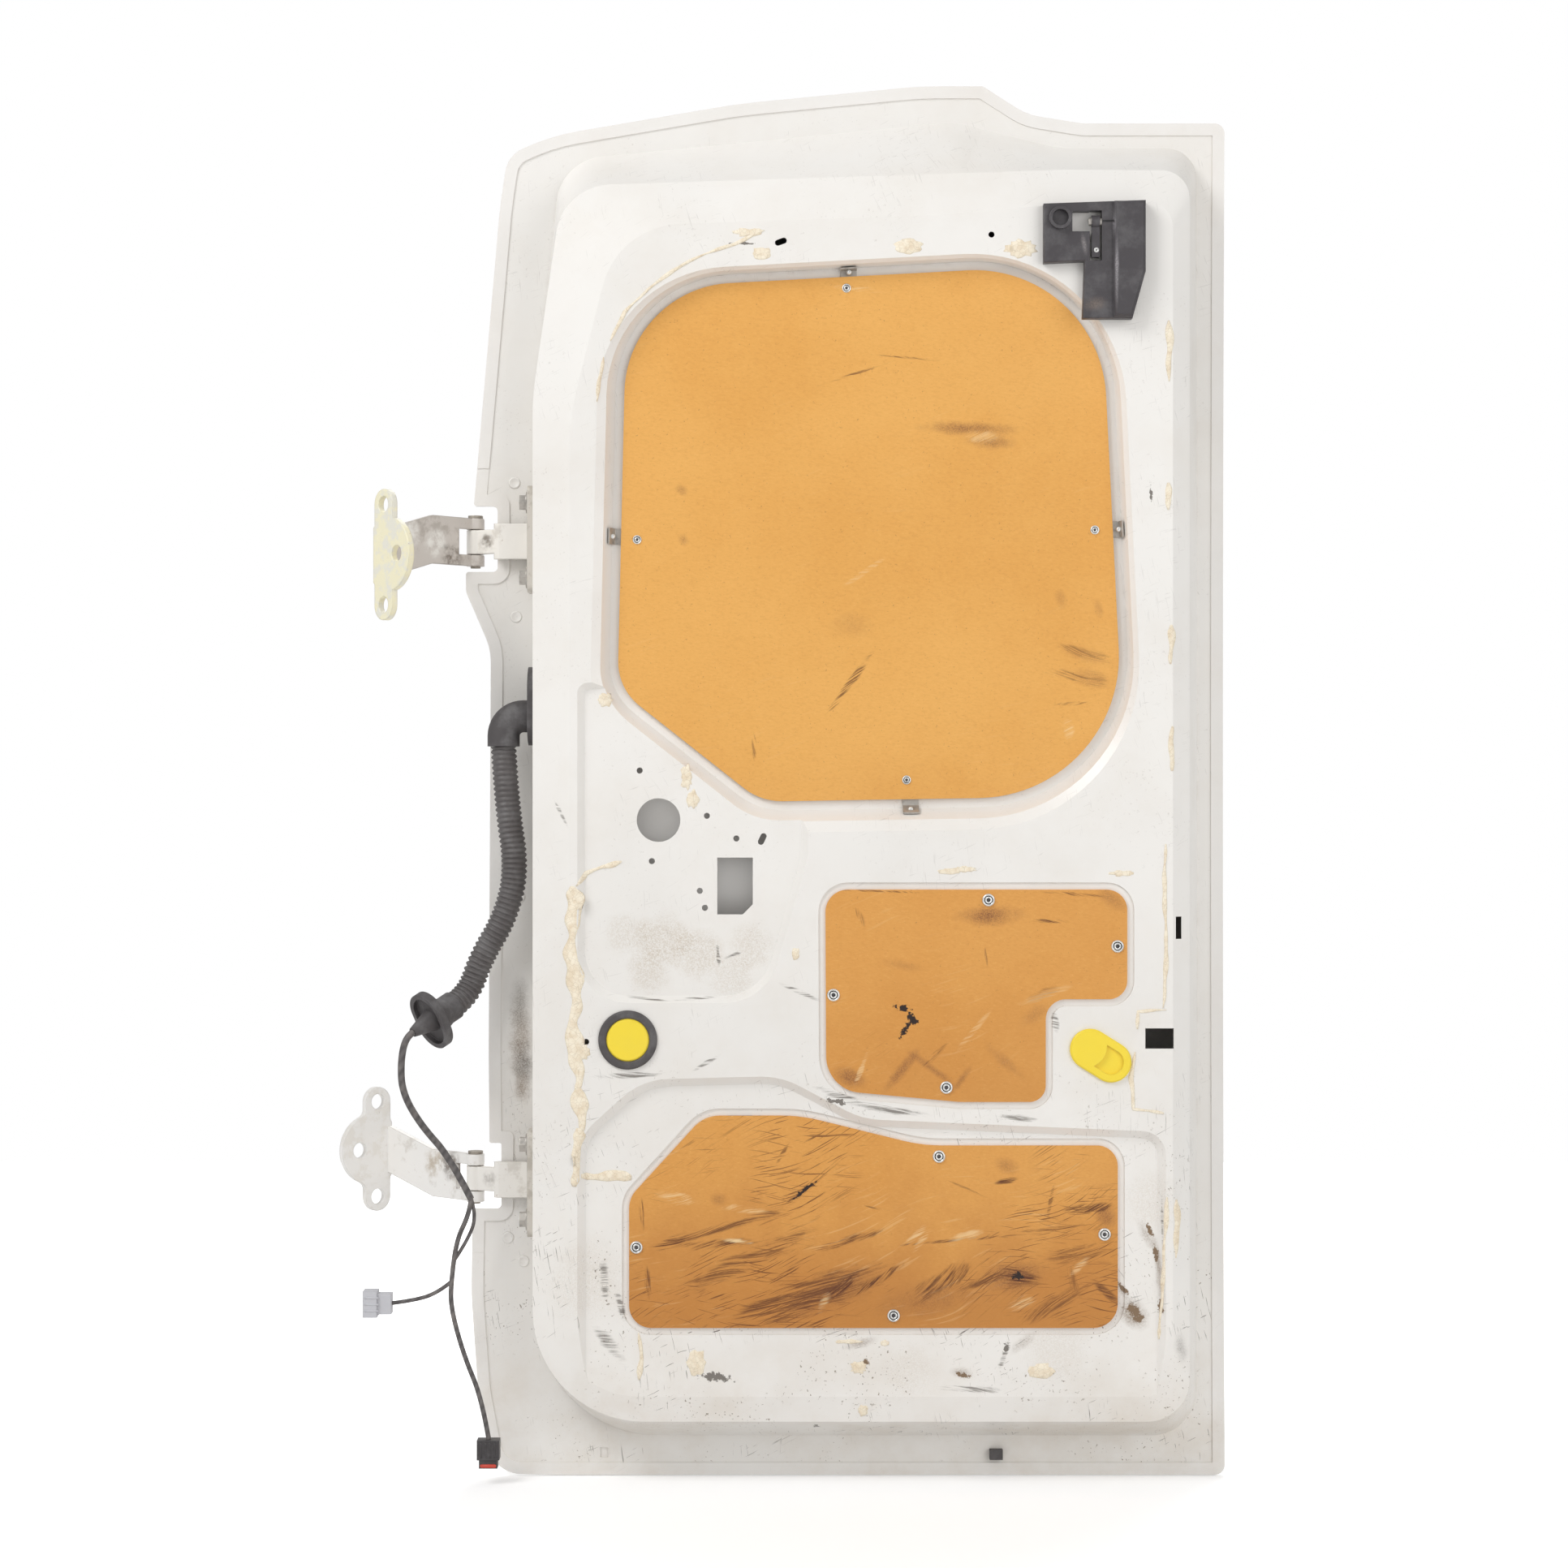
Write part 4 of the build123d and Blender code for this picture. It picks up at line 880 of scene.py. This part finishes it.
conduit_route = [
    (0.1445, -0.1300, 0.4149),
    (0.1474, -0.1279, 0.3583),
    (0.1572, -0.1235, 0.2926),
    (0.1456, -0.1204, 0.2450),
    (0.1211, -0.1189, 0.2038),
    (0.1082, -0.1202, 0.1665),
    (0.0949, -0.1320, 0.1575),
]
loom_route = [
    (0.0581, -0.1646, 0.1327),
    (0.0514, -0.1706, 0.1282),
    (0.0469, -0.1716, 0.1039),
    (0.0479, -0.1676, 0.0740),
    (0.0649, -0.1576, 0.0410),
    (0.0931, -0.1487, 0.0077),
    (0.1133, -0.1437, -0.0340),
]
tail_route = [
    (0.1133, -0.1437, -0.0340),
    (0.1118, -0.1437, -0.0483),
    (0.0990, -0.1437, -0.0744),
    (0.0937, -0.1437, -0.1161),
    (0.0933, -0.1437, -0.1420),
    (0.1061, -0.1437, -0.1887),
    (0.1240, -0.1437, -0.2315),
    (0.1309, -0.1437, -0.2720),
]
strand_route = [
    (0.1133, -0.1428, -0.0330),
    (0.1185, -0.1400, -0.0506),
    (0.1104, -0.1400, -0.0744),
    (0.0966, -0.1430, -0.0950),
]
branch_route = [
    (0.0937, -0.1437, -0.1161),
    (0.0802, -0.1442, -0.1270),
    (0.0578, -0.1447, -0.1342),
    (0.0352, -0.1447, -0.1370),
]
conduit_radius = 0.013
loom_radius = 0.0034
tail_radius = 0.0024
strand_radius = 0.0018
branch_radius = 0.0020
groove_pitch = 0.0052
groove_depth = 0.0022


def groove(run):
    """Radius of the corrugated hose at a length along it."""
    crest = 0.5 + 0.5 * math.cos(2 * math.pi * run / groove_pitch)
    return conduit_radius - groove_depth * (1 - crest**0.6)


def taped_cord(name, node, route, radius):
    """Taped wires as a round curve on the route."""
    made = route_spline(name, route)
    made.data.bevel_depth = radius
    made.data.bevel_resolution = 4
    made.data.use_fill_caps = True
    made.data.materials.append(tape)
    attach(made, "door")
    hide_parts(node)
    run_length(spline_points(route))


conduit_points = spline_points(conduit_route)
hose_mesh = bmesh.new()
tube(hose_mesh, conduit_points, groove, 28)
conduit = finished("conduit_hose", hose_mesh, hose)
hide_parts("conduit")
taped_cord("loom_cord", "loom", loom_route, loom_radius)
taped_cord("tail_cord", "loom_tail", tail_route, tail_radius)
taped_cord("strand_cord", "loom_strand", strand_route, strand_radius)
taped_cord("branch_cord", "loom_branch", branch_route, branch_radius)


# Fasteners


def turned(made, place, profile, around=24, ring=False):
    """Turned shape about an axis towards the viewer; the profile gives radius and height.

    A ring has a profile that closes on itself.
    """
    turns = [2 * math.pi * step / around for step in range(around)]
    rings = []
    for radius, height in profile:
        spots = [Vector((radius * math.cos(turn), -height, radius * math.sin(turn))) for turn in turns]
        rings.append([made.verts.new(place + spot) for spot in spots])
    joined(made, rings + rings[:1] if ring else rings, capped=not ring)


def scaled(profile, size):
    return [(size * radius, size * height) for radius, height in profile]


# Profiles: radius and height over the seat
rivet_head = [
    (0.0019, 0.0012),
    (0.0032, 0.0015),
    (0.0036, 0.0004),
    (0.0043, 0.0004),
    (0.0047, 0.0019),
    (0.0056, 0.0017),
    (0.0062, 0.0009),
    (0.0064, -0.0002),
    (0.0019, -0.0002),
]
# Groove and core are black discs set into each rivet head: painted shade in its groove and in its hollow
# middle.
rivet_groove_shade = [(0.0034, 0.0006), (0.0045, 0.0006)]
rivet_core_shade = [(0.0004, 0.0010), (0.0020, 0.0010), (0.0020, 0.0)]
weld_dent = [(0.0006, 0.0001), (0.0034, 0.0002), (0.0045, 0.0009), (0.0054, 0.0008), (0.0062, -0.0002)]
screw_head = [(0.0004, 0.0016), (0.0010, 0.0026), (0.0019, 0.0023), (0.0026, 0.0012), (0.0027, -0.0010)]

# Rivets of each board: seat, size and pixels
rivet_places = {
    "window_rivets": (window_y, 0.72, [(1043, 355), (785, 665), (1349, 653), (1117, 961)]),
    "middle_rivets": (middle_y, 1.0, [(1218, 1109), (1377, 1166), (1027, 1226), (1166, 1340)]),
    "lower_rivets": (lower_y, 1.0, [(1157, 1425), (1361, 1521), (784, 1537), (1101, 1621)]),
}
# Each rivet gets a steel head, and black discs of painted shade in it.
rivet_shade = bmesh.new()
for name, (level, size, pixels) in rivet_places.items():
    heads = bmesh.new()
    for px, py in pixels:
        place = at_pixel(px, py, level)
        turned(heads, place, scaled(rivet_head, size), ring=True)
        turned(rivet_shade, place, scaled(rivet_groove_shade, size))
        turned(rivet_shade, place, scaled(rivet_core_shade, size))
    finished(name, heads, rivet_steel)
finished("rivet_shade_discs", rivet_shade, black_plastic)

welds = bmesh.new()
weld_pixels = [(634, 595), (636, 760), (626, 1525), (645, 1554), (612, 905), (640, 1105)]
for px, py in weld_pixels:
    turned(welds, seat(px, py)[0], weld_dent)
finished("spot_welds", welds, paint)

eye_pixel = (1351, 308)
eye_size = 0.4
eye_ring = bmesh.new()
turned(eye_ring, seat(*eye_pixel, "latch_lever")[0], scaled(rivet_head, eye_size), ring=True)
finished("lever_eye", eye_ring, rivet_steel, "lever")

screws = bmesh.new()
screw_inset = 0.0045
outer_ways = {"top": (0, 0, 1), "left": (-1, 0, 0), "right": (1, 0, 0), "bottom": (0, 0, -1)}
for side, outer in outer_ways.items():
    low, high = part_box(f"window_clip_{side}")
    span = (high - low).dot(Vector([abs(value) for value in outer]))
    place = (low + high) / 2 + Vector(outer) * (span / 2 - screw_inset)
    turned(screws, place, screw_head, 18)
finished("clip_screws", screws, rivet_steel)


# Old sealant along the seams and glue left on the face


def laid(spot, outward, near=0.004):
    """The spot moved along outward onto the panel, where the panel is near."""
    start = spot + near * outward
    found, place, _, _ = cad_nodes["inner_panel"].ray_cast(start, -outward, distance=2 * near)
    return place if found else spot


def bead(made, pixels, width, height, seed):
    """Ragged bead of paste on the panel, along the pixels of the photograph."""
    step_pixels = 4
    rings = []
    profile = [(-1.0, -0.25), (-0.85, 0.6), (-0.3, 1.0), (0.3, 0.9), (0.85, 0.65), (1.0, -0.25)]
    places = []
    for (ax, ay), (bx, by) in zip(pixels, pixels[1:]):
        steps = max(3, round(math.hypot(bx - ax, by - ay) / step_pixels))
        places += [(ax + (bx - ax) * step / steps, ay + (by - ay) * step / steps) for step in range(steps)]
    seats = [seat(px, py) for px, py in places + pixels[-1:]]
    for index, (place, outward) in enumerate(seats):
        along = seats[min(index + 1, len(seats) - 1)][0] - seats[max(index - 1, 0)][0]
        side = along.cross(outward).normalized()
        taper = min(1.0, 0.3 + 0.3 * min(index, len(seats) - 1 - index))
        half = 0.5 * width * taper * (0.76 + 0.38 * wave(seed, 0.055 * index))
        crest = height * (0.8 + 0.3 * wave(seed + 9, 0.1 * index))
        middle = place + 0.18 * width * wave(seed + 4, 0.045 * index) * side
        spots = [laid(middle + half * a * side, outward) for a, _ in profile]
        rings.append([made.verts.new(spot + crest * b * outward) for spot, (_, b) in zip(spots, profile)])
    joined(made, rings)


def blob(made, pixel, wide, high, thick, seed):
    """Flat ragged dab of paste on the panel."""
    around = 22
    place, outward = seat(*pixel)
    across = Vector((1, 0, 0)) - outward * outward.x
    upright = Vector((0, 0, 1)) - outward * outward.z
    rings = []
    for share, lift in ((1.0, -0.2), (0.92, 0.55), (0.6, 1.0), (0.25, 0.8), (0.05, 0.9)):
        ring = []
        for step in range(around):
            turn = 2 * math.pi * step / around
            wobble = 0.22 * wave(seed, 1.2 * math.cos(turn)) + 0.16 * wave(seed + 3, 2.2 * math.sin(turn))
            reach = share * (1 + wobble)
            offset = wide * reach * math.cos(turn) * across + high * reach * math.sin(turn) * upright
            ring.append(made.verts.new(laid(place + offset, outward) + thick * lift * outward))
        rings.append(ring)
    joined(made, rings)


# Seams: width of the bead and the pixels it runs along
bead_height = 0.0011
seams = [
    (0.018, [(706, 1092), (705, 1160), (708, 1225), (709, 1290), (711, 1345)]),
    (0.018, [(710, 1340), (714, 1370), (722, 1392)]),
    (0.014, [(711, 1390), (712, 1430), (709, 1462)]),
    (0.007, [(710, 1092), (722, 1076), (742, 1067), (766, 1062)]),
    (0.015, [(716, 1450), (745, 1446), (778, 1452)]),
    (0.006, [(788, 1642), (791, 1675), (786, 1700)]),
    (0.004, [(942, 284), (905, 300), (868, 313), (828, 334), (798, 356), (770, 385), (752, 420)]),
    (0.004, [(744, 440), (738, 470), (735, 495)]),
    (0.008, [(1440, 395), (1441, 470)]),
    (0.008, [(1438, 595), (1440, 628)]),
    (0.009, [(1443, 770), (1444, 818)]),
    (0.009, [(1444, 895), (1445, 950)]),
    (0.005, [(1437, 1040), (1434, 1105), (1438, 1165), (1433, 1242)]),
    (0.004, [(1437, 1245), (1402, 1246), (1401, 1268)]),
    (0.005, [(1399, 1296), (1393, 1330), (1397, 1366), (1434, 1371)]),
    (0.009, [(1450, 1478), (1449, 1550)]),
    (0.005, [(1437, 1475), (1434, 1560), (1428, 1650)]),
]
beads = bmesh.new()
for seed, (width, pixels) in enumerate(seams):
    bead(beads, pixels, width, bead_height, seed)
finished("sealant_beads", beads, paste)

# Dabs: pixel, half width and half height
dab_thickness = 0.0008
dabs = [
    ((1119, 304), 0.013, 0.008),
    ((1257, 306), 0.014, 0.009),
    ((921, 286), 0.016, 0.004),
    ((938, 312), 0.010, 0.006),
    ((746, 862), 0.008, 0.007),
    ((846, 958), 0.006, 0.012),
    ((854, 985), 0.006, 0.009),
    ((1170, 1074), 0.011, 0.003),
    ((1188, 1071), 0.010, 0.003),
    ((1382, 1076), 0.012, 0.003),
    ((980, 1175), 0.004, 0.006),
    ((858, 1678), 0.010, 0.013),
    ((1058, 1685), 0.009, 0.006),
    ((1046, 1653), 0.014, 0.002),
    ((1284, 1690), 0.013, 0.008),
    ((1090, 1655), 0.004, 0.003),
    ((716, 1296), 0.008, 0.009),
    ((1063, 1738), 0.005, 0.006),
]
dab_mesh = bmesh.new()
for seed, (pixel, wide, high) in enumerate(dabs):
    blob(dab_mesh, pixel, wide, high, dab_thickness, seed + 2)
finished("glue_dabs", dab_mesh, paste)


# Stage and light

floor_mesh = bpy.data.meshes.new("floor")
floor_z = cad_low.z - 0.001
floor_left, floor_right = -2.6, 3.4
floor_front, floor_back = -3.2, 2.6
floor_corners = [
    (floor_left, floor_front, floor_z),
    (floor_right, floor_front, floor_z),
    (floor_right, floor_back, floor_z),
    (floor_left, floor_back, floor_z),
]
floor_mesh.from_pydata(floor_corners, [], [(0, 1, 2, 3)])
floor = bpy.data.objects.new("floor", floor_mesh)
bpy.context.scene.collection.objects.link(floor)
floor_shader = Shader("floor_white")
floor_rays = floor_shader.tree.nodes.new("ShaderNodeLightPath").outputs["Is Camera Ray"]
floor_shader.set(Base_Color=(0.86, 0.86, 0.86, 1.0), Roughness=0.9)
reach = floor_shader.node(
    "ShaderNodeVectorMath", {0: floor_shader.coords, 1: (0.5, -0.1, floor_z)}, "Value", operation="DISTANCE"
)
glow = floor_shader.maths("MULTIPLY_ADD", floor_shader.step(reach, 0.35, 1.1), 0.5, 0.26)
floor_shader.set(Emission_Color=(1.0, 1.0, 1.0, 1.0), Emission_Strength=floor_shader.times(floor_rays, glow))
floor_mesh.materials.append(floor_shader.material)

sky_light = 0.52
sky_seen = 1.0
world = bpy.data.worlds.new("studio")
bpy.context.scene.world = world
world.use_nodes = True
sky = world.node_tree
background = sky.nodes["Background"]
background.inputs["Color"].default_value = (1.0, 1.0, 1.0, 1.0)
rays = sky.nodes.new("ShaderNodeLightPath")
seen = sky.nodes.new("ShaderNodeMath")
seen.operation = "MAXIMUM"
sky.links.new(rays.outputs["Is Camera Ray"], seen.inputs[0])
sky.links.new(rays.outputs["Is Transmission Ray"], seen.inputs[1])
strength = sky.nodes.new("ShaderNodeMapRange")
strength.inputs["To Min"].default_value = sky_light
strength.inputs["To Max"].default_value = sky_seen
sky.links.new(seen.outputs[0], strength.inputs["Value"])
sky.links.new(strength.outputs[0], background.inputs["Strength"])


def area_light(name, place, aim, size, power):
    """Soft rectangular lamp that looks at a point."""
    lamp = bpy.data.lights.new(name, "AREA")
    lamp.shape = "RECTANGLE"
    lamp.size, lamp.size_y = size
    lamp.energy = power
    made = bpy.data.objects.new(name, lamp)
    bpy.context.scene.collection.objects.link(made)
    made.location = place
    made.rotation_euler = (Vector(aim) - Vector(place)).to_track_quat("-Z", "Y").to_euler()


middle = (cad_low + cad_high) / 2
area_light("key_light", (-1.5, -2.0, 2.6), middle, size=(1.5, 1.5), power=54.0)
area_light("fill_light", (2.4, -2.6, 1.0), middle, size=(2.0, 2.0), power=26.0)
area_light("back_light", (1.2, 2.2, 2.2), middle, size=(2.0, 1.5), power=44.0)

# Lamps inside the door behind its two open holes, placed from the face below each hole
pixels_below = 70
pixel_size = 0.00082
depth_inside = 0.045
hole_lights = [
    ("round_hole_light", (811, 1010), 0.05, 0.0062),
    ("motor_hole_light", (905, 1090), 0.04, 0.0040),
]
for name, (px, py), size, power in hole_lights:
    rise = Vector((0, depth_inside, pixels_below * pixel_size))
    behind = seat(px, py + pixels_below)[0] + rise
    area_light(name, behind, behind + Vector((0, 1, 0)), (size, size), power)
